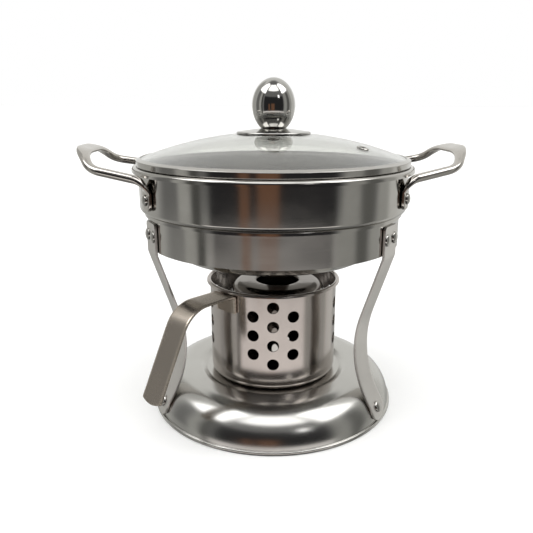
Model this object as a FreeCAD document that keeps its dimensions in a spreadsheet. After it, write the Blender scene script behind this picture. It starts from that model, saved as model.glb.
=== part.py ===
import FreeCAD, Part
import math
import os
import Sketcher

from FreeCAD import Placement, Rotation, Vector

# Table-top spirit-burner hot pot: pan with glass lid, three-legged stand with a pressed base,
# and a perforated burner shell with a fuel can. Millimetres, +Z up, Y towards the back.
# The origin is the centre of the base on the table.

os.makedirs("parts", exist_ok=True)
doc = FreeCAD.newDocument("hot_pot")
sheet = doc.addObject("Spreadsheet::Sheet", "Sizes")
tolerance = 0.01  # when comparing lengths of edges

# Driving sizes
drivingSizes = [
    ("sheet_gauge", 0.8, "pressed sheet of pan, ring, base and burner"),
    ("strip_gauge", 1.5, "flat bar of legs and burner handle"),
    ("seat_gap", 0.3, "gap between lift-off pieces and what they rest on"),
    ("contact_gap", 0.05, "gap between fixed pieces that are curved where they meet"),
    ("stand_turn_angle", -3, "turn of the stand about its axis, degrees"),
    ("drill_reach", 8, "how far a hole cutter reaches to either side of its place"),
    # base plate
    ("base_radius", 86.5, "outside of the hem bead"),
    ("base_bead_width", 1.4, "how far the bead stands out from the skirt"),
    ("base_bead_height", 2.6, "height of the hem bead"),
    ("base_hem_width", 3.6, "flat turned-in hem that stands on the table"),
    ("base_shoulder", 23.5, "radius of the shoulder, outside"),
    ("base_crown_height", 25.4, "height of the crown round the seat"),
    ("base_crown_fall", 0.6, "fall of the top from crown to shoulder"),
    ("seat_slope_width", 5, "width of the slope round the seat floor"),
    ("seat_height", 22, "top of the seat floor"),
    ("seat_clearance", 3.6, "edge of the seat floor from the burner shell"),
    # stand ring
    ("ring_clearance", 1.6, "gap between the ring and the pan's lower wall"),
    ("ring_top", 141.3, "top of the rolled edge"),
    ("ring_height", 22.6, "height of the ring"),
    ("ring_roll_width", 2.6, "width of the rolled edge"),
    ("ring_roll_drop", 2.5, "drop of the rolled edge"),
    ("ring_roll_round", 1.25, "rounding of the rolled edge"),
    # legs
    ("leg_width", 18, "width of the flat bar"),
    ("leg_top_drop", 1.8, "top edge of a leg below the rolled edge"),
    ("leg_bend_drop", 1.5, "bend of a leg below the ring"),
    ("leg_lean_angle", 18, "lean of the upper leg, degrees"),
    ("leg_bend_radius", 7, "radius of the bend under the ring"),
    ("leg_waist_radius", 74, "radius of the long curve at the waist"),
    ("foot_start_angle", 33, "where the foot meets the shoulder, degrees up its curve"),
    ("foot_end_angle", 12, "where the foot's curve ends, degrees up the shoulder's curve"),
    ("foot_straight", 2, "straight end of the foot"),
    ("foot_rivet_angle", 24, "place of the foot rivet, degrees up the shoulder's curve"),
    ("foot_round", 8.5, "radius of the foot's rounded corners"),
    ("leg_corner", 2, "corners at the top of a leg"),
    # rivets
    ("rivet_head_radius", 3.8, "stand rivets, head"),
    ("rivet_head_height", 1.7, "stand rivets, height of the domed head"),
    ("rivet_shank_radius", 2, "stand rivets, shank"),
    ("rivet_tail_radius", 3, "stand rivets, tail"),
    ("rivet_tail_height", 0.7, "stand rivets, thickness of the tail"),
    ("rivet_pitch", 11, "spacing of the two rivets at the ring"),
    ("rivet_rise", 9.8, "rivets at the ring above its lower edge"),
    ("hole_clearance", 0.05, "radial clearance of every rivet and screw hole"),
    # pan
    ("pan_upper_radius", 90, "outside of the upper wall"),
    ("pan_upper_height", 28.4, "from the shoulder on the ring to the top of the rim"),
    ("pan_step_round", 2.4, "rounding under the upper wall"),
    ("pan_shoulder_width", 7, "width of the shoulder that rests on the ring"),
    ("pan_lower_depth", 33.3, "from the shoulder down to the underside"),
    ("pan_haunch_drop", 14.6, "from the shoulder to the corner where the lower wall turns inward"),
    ("pan_haunch_round", 14, "rounding of that corner"),
    ("pan_bottom_inset", 19, "corner of the flat bottom inside the lower wall"),
    ("pan_bottom_round", 10, "rounding at the flat bottom"),
    ("pan_rim_width", 4, "how far the rolled rim stands out"),
    ("pan_rim_drop", 3.3, "height of the rolled rim"),
    ("pan_rim_round", 1.5, "rounding of the rim, underside"),
    # pan handles
    ("pot_turn_angle", 3.3, "turn of the pan in the ring, degrees"),
    ("handle_side_angle", 30.4, "place of each tab, degrees round from the handle's middle"),
    ("handle_tab_rise", 4.6, "lower end of a tab above the pan's shoulder"),
    ("handle_tab_length", 10.3, "straight length of a tab"),
    ("handle_tab_width", 11, "width of a tab"),
    ("handle_tab_thickness", 2.6, "thickness of a tab"),
    ("handle_tab_round", 4, "length of the rounded end of a tab"),
    ("handle_standoff", 0.15, "gap between a tab and the pan"),
    ("handle_step_angle", 13, "largest turn from one section of a handle to the next, degrees"),
    ("handle_rod_width", 6.2, "width of the rod"),
    ("handle_rod_thickness", 5.4, "thickness of the rod"),
    ("handle_grip_width", 10.4, "width of the flattened grip"),
    ("handle_grip_thickness", 3.2, "thickness of the flattened grip"),
    ("handle_overhang", 32.3, "middle of the grip from the pan's wall"),
    ("handle_corner", 25, "radius of the loop's corners"),
    ("handle_bend", 9, "radius of the bend over the tab"),
    ("handle_arm_angle", 17.8, "how far each arm turns in towards the other, degrees"),
    ("handle_slope_angle", 9.7, "slope of the arms, degrees"),
    ("handle_kick_angle", 30.4, "steepest slope, just before the grip, degrees"),
    ("handle_kick_turn_angle", 44, "turn of a corner by where it is steepest, degrees"),
    ("handle_grip_tilt_angle", 16, "tilt of the grip, outer edge up, degrees"),
    ("handle_rivet_rise", 6.5, "handle rivets above the lower end of a tab"),
    ("handle_rivet_radius", 3.5, "handle rivets, head"),
    ("handle_rivet_head", 1.8, "handle rivets, height of the domed head"),
    ("handle_rivet_shank", 1.9, "handle rivets, shank"),
    ("handle_rivet_tail", 3.2, "handle rivets, tail"),
    # lid
    ("lid_gap", 0.4, "gap between the pan's rim and the band, at the edge of the glass"),
    ("glass_overlap", 0.6, "edge of the glass past the pan's wall"),
    ("glass_rise", 17.4, "rise of the dome from its edge"),
    ("glass_thickness", 2.5, "thickness of the glass"),
    ("band_gauge", 0.5, "sheet of the rim band"),
    ("band_flange_width", 2.7, "width of the band's flange on the glass"),
    ("lip_clearance", 0.8, "gap between the band's lip and the pan"),
    ("band_lip_depth", 3.8, "depth of the lip below the pan's rim"),
    ("vent_distance", 64, "vent hole from the lid's axis"),
    ("vent_direction_angle", 60, "direction of the vent, degrees from the front towards the right"),
    ("vent_flange_radius", 4, "flange of the vent eyelet"),
    ("vent_barrel_radius", 2.7, "outside of the eyelet's barrel"),
    ("vent_bore_radius", 2, "bore of the eyelet"),
    ("vent_flange_thickness", 0.6, "thickness of the eyelet's flanges"),
    ("vent_round", 0.3, "rounding of the eyelet's edge"),
    # knob
    ("knob_disc_radius", 25, "disc under the knob"),
    ("knob_disc_crown", 9.5, "flat middle of the disc"),
    ("knob_disc_gap", 0.3, "gap between the disc's edge and the glass"),
    ("knob_disc_edge", 1, "turned-down edge of the disc"),
    ("knob_radius", 14.3, "knob at its widest"),
    ("knob_half_height", 17.9, "half height of the egg"),
    ("knob_neck_radius", 8.4, "foot of the knob"),
    ("screw_radius", 2, "knob screw, shank"),
    ("screw_head_radius", 4, "knob screw, head"),
    ("screw_head_height", 2.4, "knob screw, head"),
    ("screw_engagement", 9, "length of screw inside the knob"),
    ("screw_end_gap", 1, "room past the end of the screw"),
    ("gasket_radius", 9, "silicone washer over the glass"),
    ("gasket_thickness", 1.2, "silicone washer over the glass"),
    ("washer_radius", 7.5, "steel washer under the glass"),
    ("washer_thickness", 1.2, "steel washer under the glass"),
    # burner shell
    ("burner_radius", 44.9, "outside of the shell"),
    ("burner_height", 68.3, "height of the shell"),
    ("burner_roll_width", 2.3, "how far the rim stands out"),
    ("burner_roll_drop", 2, "height of the rolled rim"),
    ("burner_roll_round", 0.7, "rounding of the rolled rim, inside"),
    ("burner_bottom_round", 5, "rounding at the bottom"),
    ("vent_hole_radius", 4, "holes in the shell"),
    ("vent_hole_rise", 19.5, "lowest hole above the shell's underside"),
    ("vent_hole_margin", 8.9, "highest hole below the top of the rim"),
    ("vent_hole_turn_angle", 17.2, "turn from the middle column to its neighbours, degrees"),
    # burner handle
    ("grip_direction_angle", -43, "direction of the burner handle, degrees from the front"),
    ("grip_width", 17.5, "width of the flat bar"),
    ("grip_gap", 0.4, "gap between the level arm and the rolled rim"),
    ("grip_tab_height", 12.5, "tab on the shell"),
    ("grip_arm", 37.4, "corner of the arm from the shell"),
    ("grip_shoulder_round", 22, "radius of the arm's bend, outside"),
    ("grip_splay_angle", 26.4, "splay of the hanging part, degrees from upright"),
    ("grip_drop", 57.2, "from the level arm down to the end, untrimmed"),
    ("grip_end_curve", 20.6, "radius of the curved end"),
    ("grip_end_trim", 0.8, "how far the curved end is cut back"),
    # fuel can
    ("can_offset", 3, "can stands off the burner's axis, towards the right"),
    ("can_radius", 32.4, "outside of the can"),
    ("can_height", 40, "height of the can"),
    ("can_round", 3, "rounding at the bottom of the can"),
    ("can_gauge", 0.6, "sheet of can and cover"),
    ("cover_fit", 0.2, "gap between the can and the cover's skirt"),
    ("cover_overlap", 6.9, "how far the skirt reaches down over the can"),
    ("cover_height", 31.5, "height of the cover"),
    ("cover_round", 7, "rounded shoulder of the cover"),
    ("flame_opening_radius", 15, "opening in the cover"),
    ("flame_lip_drop", 4, "turned-down lip of the opening"),
    ("wick_height", 50, "height of the absorbent pad"),
    # bends used in several pieces
    ("bend_hair", 0.2, "broken edge"),
    ("bend_tight", 0.4, "tight bend"),
    ("bend_lip", 0.8, "bend of the band's lip"),
    ("bend_edge", 0.95, "bend of a pressed edge, outside"),
    ("bend_bar", 2.4, "bend of the burner handle at its tab, outside"),
    ("bend_small", 2.5, "soft bend"),
    ("bend_large", 6, "wide bend"),
]

# Sizes that follow from the driving ones
derivedSizes = [
    ("burner_bottom", "=seat_height + seat_gap"),
    ("burner_floor", "=burner_bottom + sheet_gauge"),
    ("burner_top", "=burner_bottom + burner_height"),
    ("seat_radius", "=burner_radius + seat_clearance"),
    ("base_crown_radius", "=seat_radius + seat_slope_width"),
    ("base_skirt_radius", "=base_radius - base_bead_width"),
    ("base_top_edge", "=base_crown_height - base_crown_fall"),
    ("base_hem_radius", "=base_radius - base_hem_width"),
    ("shoulder_centre_radius", "=base_skirt_radius - base_shoulder"),
    ("base_top_slope", "=base_crown_fall / (base_skirt_radius - base_crown_radius)"),
    ("shoulder_centre_height", "=base_crown_height"
                               " - base_top_slope * (shoulder_centre_radius - base_crown_radius)"
                               " - base_shoulder * sqrt(1 + base_top_slope^2)"),
    ("pan_lower_radius", "=pan_upper_radius - pan_shoulder_width"),
    ("ring_inner_radius", "=pan_lower_radius + ring_clearance"),
    ("ring_bottom", "=ring_top - ring_height"),
    ("ring_outer_radius", "=ring_inner_radius + sheet_gauge"),
    ("ring_roll_radius", "=ring_inner_radius + ring_roll_width"),
    ("ring_roll_bottom", "=ring_top - ring_roll_drop"),
    ("rivet_height", "=ring_bottom + rivet_rise"),
    ("leg_top", "=ring_roll_bottom - leg_top_drop"),
    ("leg_inner_plane", "=ring_outer_radius + contact_gap"),
    ("leg_bend_height", "=ring_bottom - leg_bend_drop"),
    ("foot_curve", "=base_shoulder + contact_gap"),
    ("foot_mid_angle", "=(foot_start_angle + foot_end_angle) / 2"),
    ("foot_corner_reach", "=foot_curve / cos((foot_start_angle - foot_end_angle) / 2)"),
    ("foot_corner_radius", "=shoulder_centre_radius + foot_corner_reach * cos(foot_mid_angle)"),
    ("foot_corner_height", "=shoulder_centre_height + foot_corner_reach * sin(foot_mid_angle)"),
    ("foot_end_radius", "=shoulder_centre_radius + foot_curve * cos(foot_end_angle)"
                        " + foot_straight * sin(foot_end_angle)"),
    ("foot_end_height", "=shoulder_centre_height + foot_curve * sin(foot_end_angle)"
                        " - foot_straight * cos(foot_end_angle)"),
    ("leg_run", "=((leg_bend_height - foot_corner_height) * sin(foot_start_angle)"
                " - (foot_corner_radius - leg_inner_plane) * cos(foot_start_angle))"
                " / sin(foot_start_angle + leg_lean_angle)"),
    ("leg_waist_corner_radius", "=leg_inner_plane - leg_run * sin(leg_lean_angle)"),
    ("leg_waist_corner_height", "=leg_bend_height - leg_run * cos(leg_lean_angle)"),
    ("pan_step", "=ring_top + seat_gap"),
    ("pan_bottom", "=pan_step - pan_lower_depth"),
    ("pan_bottom_radius", "=pan_lower_radius - pan_bottom_inset"),
    ("pan_haunch_height", "=pan_step - pan_haunch_drop"),
    ("pan_rim_top", "=pan_step + pan_upper_height"),
    ("pan_rim_radius", "=pan_upper_radius + pan_rim_width"),
    ("pan_rim_underside", "=pan_rim_top - sheet_gauge"),
    ("pan_rim_inner", "=pan_rim_radius - sheet_gauge"),
    ("pan_rim_bottom", "=pan_rim_top - pan_rim_drop"),
    ("handle_tab_bottom", "=pan_step + handle_tab_rise"),
    ("handle_rivet_height", "=handle_tab_bottom + handle_rivet_rise"),
    ("handle_reach", "=pan_upper_radius + handle_overhang"),
    ("glass_radius", "=pan_upper_radius + glass_overlap"),
    ("glass_sphere", "=(glass_radius^2 + glass_rise^2) / (2 * glass_rise)"),
    ("glass_inner_sphere", "=glass_sphere - glass_thickness"),
    ("band_wall_radius", "=glass_radius + contact_gap"),
    ("band_top_radius", "=glass_radius - band_flange_width"),
    ("band_lip_radius", "=pan_upper_radius - sheet_gauge - lip_clearance - band_gauge"),
    ("band_lip_bottom", "=pan_rim_top - band_lip_depth"),
    ("glass_centre", "=pan_rim_top + lid_gap + band_gauge"
                     " - sqrt(glass_inner_sphere^2 - band_wall_radius^2)"),
    ("glass_top", "=glass_centre + glass_sphere"),
    ("band_flange_height", "=glass_centre + sqrt(glass_sphere^2 - band_top_radius^2) + 2 * contact_gap"),
    ("band_edge_height", "=glass_centre + sqrt(glass_sphere^2 - band_wall_radius^2) + 2 * contact_gap"),
    ("band_floor_height", "=glass_centre + sqrt(glass_inner_sphere^2 - band_wall_radius^2)"
                          " - 2 * contact_gap"),
    ("band_lip_height", "=glass_centre + sqrt(glass_inner_sphere^2 - band_lip_radius^2)"
                        " - 2 * contact_gap"),
    ("gasket_bottom", "=glass_top + contact_gap"),
    ("gasket_top", "=gasket_bottom + gasket_thickness"),
    ("disc_top", "=gasket_bottom + gasket_thickness + contact_gap + sheet_gauge"),
    ("disc_edge_bottom", "=glass_centre + sqrt(glass_sphere^2 - knob_disc_radius^2) + knob_disc_gap"),
    ("disc_edge_top", "=disc_edge_bottom + knob_disc_edge"),
    ("screw_hole_radius", "=screw_radius + hole_clearance"),
    ("knob_bottom", "=disc_top + contact_gap"),
    ("knob_centre", "=knob_bottom + knob_half_height * sqrt(1 - (knob_neck_radius / knob_radius)^2)"),
    ("washer_top", "=glass_centre + sqrt(glass_inner_sphere^2 - washer_radius^2) - contact_gap"),
    ("washer_bottom", "=washer_top - washer_thickness"),
    ("screw_head_top", "=washer_bottom - contact_gap"),
    ("screw_head_bottom", "=screw_head_top - screw_head_height"),
    ("screw_tip", "=knob_bottom + screw_engagement"),
    ("screw_bore_top", "=screw_tip + screw_end_gap"),
    ("vent_upper", "=contact_gap"),
    ("vent_top", "=vent_upper + vent_flange_thickness"),
    ("vent_lower", "=-glass_thickness - 2 * contact_gap"),
    ("vent_bottom", "=vent_lower - vent_flange_thickness"),
    ("ring_rivet_grip", "=leg_inner_plane + strip_gauge + 3 * contact_gap"
                        " - sqrt(ring_inner_radius^2 - (rivet_pitch / 2 + rivet_tail_radius)^2)"),
    ("foot_rivet_grip", "=foot_curve + strip_gauge + 3 * contact_gap"
                        " - sqrt((base_shoulder - sheet_gauge)^2 - rivet_tail_radius^2)"),
    ("handle_rivet_grip", "=handle_standoff + handle_tab_thickness + contact_gap + pan_upper_radius"
                          " - sqrt((pan_upper_radius - sheet_gauge)^2 - handle_rivet_tail^2)"
                          " + contact_gap"),
    ("burner_rim_inner", "=burner_radius + burner_roll_width - sheet_gauge"),
    ("burner_rim_underside", "=burner_top - sheet_gauge"),
    ("burner_rim_bottom", "=burner_top - burner_roll_drop"),
    ("vent_hole_start", "=burner_bottom + vent_hole_rise"),
    ("vent_hole_pitch", "=(burner_top - vent_hole_margin - vent_hole_start) / 3"),
    ("grip_top", "=burner_rim_bottom - grip_gap"),
    ("grip_shoulder", "=burner_radius + grip_arm"),
    ("grip_tab_radius", "=burner_radius + contact_gap"),
    ("grip_tab_bottom", "=grip_top - grip_tab_height"),
    ("grip_end_height", "=grip_top - grip_drop"),
    ("grip_end_radius", "=grip_shoulder + grip_drop * tan(grip_splay_angle)"),
    ("can_bottom", "=burner_floor + seat_gap"),
    ("can_floor", "=can_bottom + can_gauge"),
    ("can_rim", "=can_bottom + can_height"),
    ("wick_bottom", "=can_floor + contact_gap"),
    ("wick_top", "=wick_bottom + wick_height"),
    ("cover_radius", "=can_radius + cover_fit + can_gauge"),
    ("cover_skirt_bottom", "=can_rim - cover_overlap"),
    ("cover_top", "=cover_skirt_bottom + cover_height"),
    ("flame_lip_bottom", "=cover_top - flame_lip_drop"),
    ("wick_radius", "=can_radius - can_gauge - contact_gap"),
]

for row, (alias, value, note) in enumerate(drivingSizes, start=1):
    sheet.set(f"A{row}", str(value))
    sheet.setAlias(f"A{row}", alias)
    sheet.set(f"B{row}", note)
for row, (alias, formula) in enumerate(derivedSizes, start=len(drivingSizes) + 1):
    sheet.set(f"A{row}", formula)
    sheet.setAlias(f"A{row}", alias)
doc.recompute()


def size(alias):
    return float(sheet.get(alias))


def bind(thing, **links):
    # Ties properties of an object to cells of the sheet.
    for name, alias in links.items():
        thing.setExpression(name, f"Sizes.{alias}")


def direction(degrees):
    # Unit vector on the table, counted from the front (-Y) towards the right (+X).
    angle = math.radians(degrees)
    return Vector(math.sin(angle), -math.cos(angle), 0)


# Sketches
def cornerPoint(corner):
    return Vector(size(corner[0]) if corner[0] else 0, size(corner[1]) if corner[1] else 0, 0)


def filletPoints(before, corner, after, radius):
    # Touching points and centre of a fillet at a corner of the outline.
    back = (before - corner).normalize()
    ahead = (after - corner).normalize()
    half = back.getAngle(ahead) / 2
    reach = radius / math.tan(half)
    middle = (back + ahead).normalize()
    return corner + back * reach, corner + ahead * reach, corner + middle * (radius / math.sin(half))


def outline(sketch, corners, closed=False):
    # Draws an outline in the radius-height plane. Each corner is (radius, height, fillet),
    # three names of cells; None stands for zero, and for a sharp corner.
    points = [cornerPoint(corner) for corner in corners]
    count = len(points)
    last = count if closed else count - 1
    starts = list(points)
    ends = list(points)
    arcs = {}
    for index, corner in enumerate(corners):
        if corner[2]:
            radius = size(corner[2])
            before = points[index - 1]
            after = points[(index + 1) % count]
            ends[index], starts[index], centre = filletPoints(before, points[index], after, radius)
            arcs[index] = (centre, radius)
    lines = [sketch.addGeometry(Part.LineSegment(starts[index], ends[(index + 1) % count]))
             for index in range(last)]
    for index, corner in enumerate(corners):
        before = lines[index - 1] if index or closed else None
        after = lines[index] if index < last else None
        if index in arcs:
            vertex = sketch.addGeometry(Part.Point(points[index]), True)
            sketch.addConstraint(Sketcher.Constraint("PointOnObject", vertex, 1, before))
            sketch.addConstraint(Sketcher.Constraint("PointOnObject", vertex, 1, after))
            addFillet(sketch, arcs[index], ends[index], starts[index], before, after, corner[2])
            place(sketch, vertex, 1, corner, points[index])
        elif before is None:
            place(sketch, after, 1, corner, points[index])
        else:
            if after is not None:
                sketch.addConstraint(Sketcher.Constraint("Coincident", before, 2, after, 1))
            place(sketch, before, 2, corner, points[index])


def addFillet(sketch, arc, start, end, before, after, alias):
    centre, radius = arc
    first = math.atan2(start.y - centre.y, start.x - centre.x)
    second = math.atan2(end.y - centre.y, end.x - centre.x)
    turnsLeft = (start - centre).cross(end - centre).z > 0
    low, high = (first, second) if turnsLeft else (second, first)
    if high < low:
        high += 2 * math.pi
    circle = Part.Circle(centre, Vector(0, 0, 1), radius)
    curve = sketch.addGeometry(Part.ArcOfCircle(circle, low, high))
    atStart, atEnd = (1, 2) if turnsLeft else (2, 1)
    sketch.addConstraint(Sketcher.Constraint("Tangent", before, 2, curve, atStart))
    sketch.addConstraint(Sketcher.Constraint("Tangent", curve, atEnd, after, 1))
    number = sketch.addConstraint(Sketcher.Constraint("Radius", curve, radius))
    sketch.setExpression(f"Constraints[{number}]", f"Sizes.{alias}")


def place(sketch, geometry, end, corner, point):
    # Ties a point of the sketch to its two cells, or to an axis.
    for alias, kind, axis, value in ((corner[0], "DistanceX", -2, point.x),
                                     (corner[1], "DistanceY", -1, point.y)):
        if alias:
            number = sketch.addConstraint(Sketcher.Constraint(kind, -1, 1, geometry, end, value))
            sketch.setExpression(f"Constraints[{number}]", f"Sizes.{alias}")
        else:
            sketch.addConstraint(Sketcher.Constraint("PointOnObject", geometry, end, axis))


def uprightSketch(label, corners, closed=False):
    sketch = doc.addObject("Sketcher::SketchObject", label)
    sketch.Placement = Placement(Vector(), Rotation(Vector(1, 0, 0), 90))
    outline(sketch, corners, closed)
    return sketch


# Ways of making a piece
def sheetSection(label, corners, gauge, inward=False):
    # Sheet metal in section: a line on one face, thickened to the other.
    section = doc.addObject("Part::Offset2D", f"{label}_section")
    section.Source = uprightSketch(f"{label}_line", corners)
    section.Mode = "Skin"
    section.Fill = True
    section.Value = size(gauge) * (-1 if inward else 1)
    section.setExpression("Value", f"{'-' if inward else ''}Sizes.{gauge}")
    return section


def spun(label, corners, gauge, inward=False):
    # A spun or drawn sheet piece, round about the upright axis.
    piece = doc.addObject("Part::Revolution", label)
    piece.Source = sheetSection(label, corners, gauge, inward)
    piece.Axis = Vector(0, 0, 1)
    piece.Base = Vector()
    piece.Angle = 360
    piece.Solid = True
    return piece


def turned(label, corners):
    # A solid turned piece: a body with one closed sketch, revolved about the upright axis.
    body = doc.addObject("PartDesign::Body", label)
    sketch = body.newObject("Sketcher::SketchObject", f"{label}_profile")
    plane = next(item for item in body.Origin.OriginFeatures if item.Role == "XZ_Plane")
    sketch.AttachmentSupport = [(plane, "")]
    sketch.MapMode = "FlatFace"
    outline(sketch, corners, closed=True)
    revolution = body.newObject("PartDesign::Revolution", f"{label}_turned")
    revolution.Profile = sketch
    revolution.ReferenceAxis = (sketch, ["V_Axis"])
    revolution.Angle = 360
    return body


def bar(label, corners, gauge, width, inward=False):
    # Bent flat bar: its bends in section, extruded across its width.
    piece = doc.addObject("Part::Extrusion", f"{label}_bar")
    piece.Base = sheetSection(label, corners, gauge, inward)
    piece.DirMode = "Custom"
    piece.Dir = Vector(0, 1, 0)
    piece.Solid = True
    piece.setExpression("LengthFwd", f"Sizes.{width} / 2")
    piece.setExpression("LengthRev", f"Sizes.{width} / 2")
    return piece


def cylinder(label, radius, height, placement=Placement()):
    piece = doc.addObject("Part::Cylinder", label)
    piece.Placement = placement
    piece.setExpression("Radius", radius)
    piece.setExpression("Height", height)
    return piece


def cut(label, base, tools):
    piece = doc.addObject("Part::Cut", label)
    piece.Base = base
    piece.Tool = tools[0] if len(tools) == 1 else gathered(f"{label}_tools", tools)
    return piece


def gathered(label, pieces):
    group = doc.addObject("Part::Compound", label)
    group.Links = pieces
    return group


def copies(label, original, placements):
    # Copies of one piece, kept as separate solids in one group.
    doc.recompute()
    pieces = []
    for placement in placements:
        piece = doc.addObject("Part::Feature", f"{label}_copy")
        piece.Shape = original.Shape
        piece.Placement = placement.multiply(original.Placement)
        pieces.append(piece)
    return gathered(label, pieces)


# Stand
legDirections = [size("stand_turn_angle") + turn for turn in (-60, 60, 180)]
legNames = ["leg_front_left", "leg_front_right", "leg_rear"]


def outwardTurn(degrees):
    # Turns a piece drawn along +X so that it points in a direction on the table.
    return Rotation(Vector(0, 0, 1), degrees - 90)


def rivet(label, head, headHeight, shank, grip, tail, tailHeight):
    # Domed head at the top of the grip, flat tail below it, along Z.
    dome = doc.addObject("Part::Ellipsoid", f"{label}_head")
    bind(dome, Radius1=headHeight, Radius2=head, Radius3=head)
    dome.Angle1 = 0
    stem = cylinder(f"{label}_shank", f"Sizes.{shank}", f"Sizes.{grip} + Sizes.{tailHeight}")
    foot = cylinder(f"{label}_tail", f"Sizes.{tail}", f"Sizes.{tailHeight}")
    for part in (stem, foot):
        part.setExpression("Placement.Base.z", f"-Sizes.{grip} - Sizes.{tailHeight}")
    piece = doc.addObject("Part::MultiFuse", label)
    piece.Shapes = [dome, stem, foot]
    return piece


def drill(label, placements, radius):
    # Hole cutters at the given places.
    original = cylinder(f"{label}_drill", f"Sizes.{radius} + Sizes.hole_clearance",
                        "2 * Sizes.drill_reach")
    original.setExpression("Placement.Base.z", "-Sizes.drill_reach")
    return copies(f"{label}_drills", original, placements)


def radialPlacement(degrees, radius, height, sideways=0, climb=0):
    # A rivet's place: its axis points outward, raised by climb degrees.
    out = direction(degrees)
    side = Vector(0, 0, 1).cross(out)
    axis = out * math.cos(math.radians(climb)) + Vector(0, 0, math.sin(math.radians(climb)))
    return Placement(out * radius + side * sideways + Vector(0, 0, height),
                     Rotation(Vector(0, 0, 1), axis))


def ringRivetPlaces(legDirection):
    radius = size("leg_inner_plane") + size("strip_gauge") + size("contact_gap")
    return [radialPlacement(legDirection, radius, size("rivet_height"), side * size("rivet_pitch") / 2)
            for side in (-1, 1)]


def footRivetPlace(legDirection):
    angle = size("foot_rivet_angle")
    reach = size("foot_curve") + size("strip_gauge") + size("contact_gap")
    radius = size("shoulder_centre_radius") + reach * math.cos(math.radians(angle))
    height = size("shoulder_centre_height") + reach * math.sin(math.radians(angle))
    return radialPlacement(legDirection, radius, height, climb=angle)


def buildBase():
    dish = spun("base_dish", [
        (None, "seat_height", None),
        ("seat_radius", "seat_height", "bend_small"),
        ("base_crown_radius", "base_crown_height", "bend_large"),
        ("base_skirt_radius", "base_top_edge", "base_shoulder"),
        ("base_skirt_radius", "base_bead_height", "bend_tight"),
        ("base_radius", "base_bead_height", "bend_edge"),
        ("base_radius", None, "bend_edge"),
        ("base_hem_radius", None, None),
    ], "sheet_gauge", inward=True)
    drills = drill("foot", [footRivetPlace(turn) for turn in legDirections], "rivet_shank_radius")
    return cut("base_plate", dish, [drills])


def buildRing():
    ring = spun("ring_band", [
        ("ring_inner_radius", "ring_bottom", None),
        ("ring_inner_radius", "ring_top", "ring_roll_round"),
        ("ring_roll_radius", "ring_top", "ring_roll_round"),
        ("ring_roll_radius", "ring_roll_bottom", None),
    ], "sheet_gauge", inward=True)
    places = [place for turn in legDirections for place in ringRivetPlaces(turn)]
    return cut("stand_ring", ring, [drill("ring", places, "rivet_shank_radius")])


def legBlank(label):
    # Plan of the flat bar seen from outside: square top with small corners, round foot.
    blank = doc.addObject("Part::Box", label)
    blank.setExpression("Length", "Sizes.base_radius")
    blank.setExpression("Width", "Sizes.leg_width")
    blank.setExpression("Height", "Sizes.leg_top - Sizes.foot_end_height")
    blank.setExpression("Placement.Base.x", "Sizes.leg_waist_corner_radius")
    blank.setExpression("Placement.Base.y", "-Sizes.leg_width / 2")
    blank.setExpression("Placement.Base.z", "Sizes.foot_end_height")
    return blank


def roundCorners(label, base, cornerRadius):
    # Rounds the edges for which cornerRadius(edge) gives a radius.
    doc.recompute()
    piece = doc.addObject("Part::Fillet", label)
    piece.Base = base
    radii = [(number, cornerRadius(edge)) for number, edge in enumerate(base.Shape.Edges, start=1)]
    piece.Edges = [(number, radius, radius) for number, radius in radii if radius]
    return piece


def blankCorner(edge):
    first, last = edge.Vertexes[0].Point, edge.Vertexes[-1].Point
    if abs(first.x - last.x) < tolerance:
        return None
    return size("leg_corner") if first.z > size("leg_waist_corner_height") else size("foot_round")


def buildLeg(label, legDirection):
    strip = bar(label, [
        ("leg_inner_plane", "leg_top", None),
        ("leg_inner_plane", "leg_bend_height", "leg_bend_radius"),
        ("leg_waist_corner_radius", "leg_waist_corner_height", "leg_waist_radius"),
        ("foot_corner_radius", "foot_corner_height", "foot_curve"),
        ("foot_end_radius", "foot_end_height", None),
    ], "strip_gauge", "leg_width")
    trimmed = doc.addObject("Part::Common", f"{label}_trimmed")
    trimmed.Base = strip
    trimmed.Tool = roundCorners(f"{label}_plan", legBlank(f"{label}_blank"), blankCorner)
    places = ringRivetPlaces(90) + [footRivetPlace(90)]
    piece = cut(label, trimmed, [drill(label, places, "rivet_shank_radius")])
    piece.Placement = Placement(Vector(), outwardTurn(legDirection))
    return piece


def buildStandRivets():
    upper = rivet("ring_rivet", "rivet_head_radius", "rivet_head_height", "rivet_shank_radius",
                  "ring_rivet_grip", "rivet_tail_radius", "rivet_tail_height")
    lower = rivet("foot_rivet", "rivet_head_radius", "rivet_head_height", "rivet_shank_radius",
                  "foot_rivet_grip", "rivet_tail_radius", "rivet_tail_height")
    places = [place for turn in legDirections for place in ringRivetPlaces(turn)]
    return [copies("ring_rivets", upper, places),
            copies("foot_rivets", lower, [footRivetPlace(turn) for turn in legDirections])]


# Pan
drawnDirection = 90  # a piece drawn along +X
handleDirections = {"pot_handle_right": drawnDirection + size("pot_turn_angle"),
                    "pot_handle_left": drawnDirection + 180 + size("pot_turn_angle")}


def handleRivetPlaces(*middles):
    # Two rivets for each handle, given the direction of its middle.
    radius = tabRadius() + size("handle_tab_thickness") / 2 + size("contact_gap")
    angle = size("handle_side_angle")
    return [radialPlacement(middle + side * angle, radius, size("handle_rivet_height"))
            for middle in middles for side in (-1, 1)]


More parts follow.
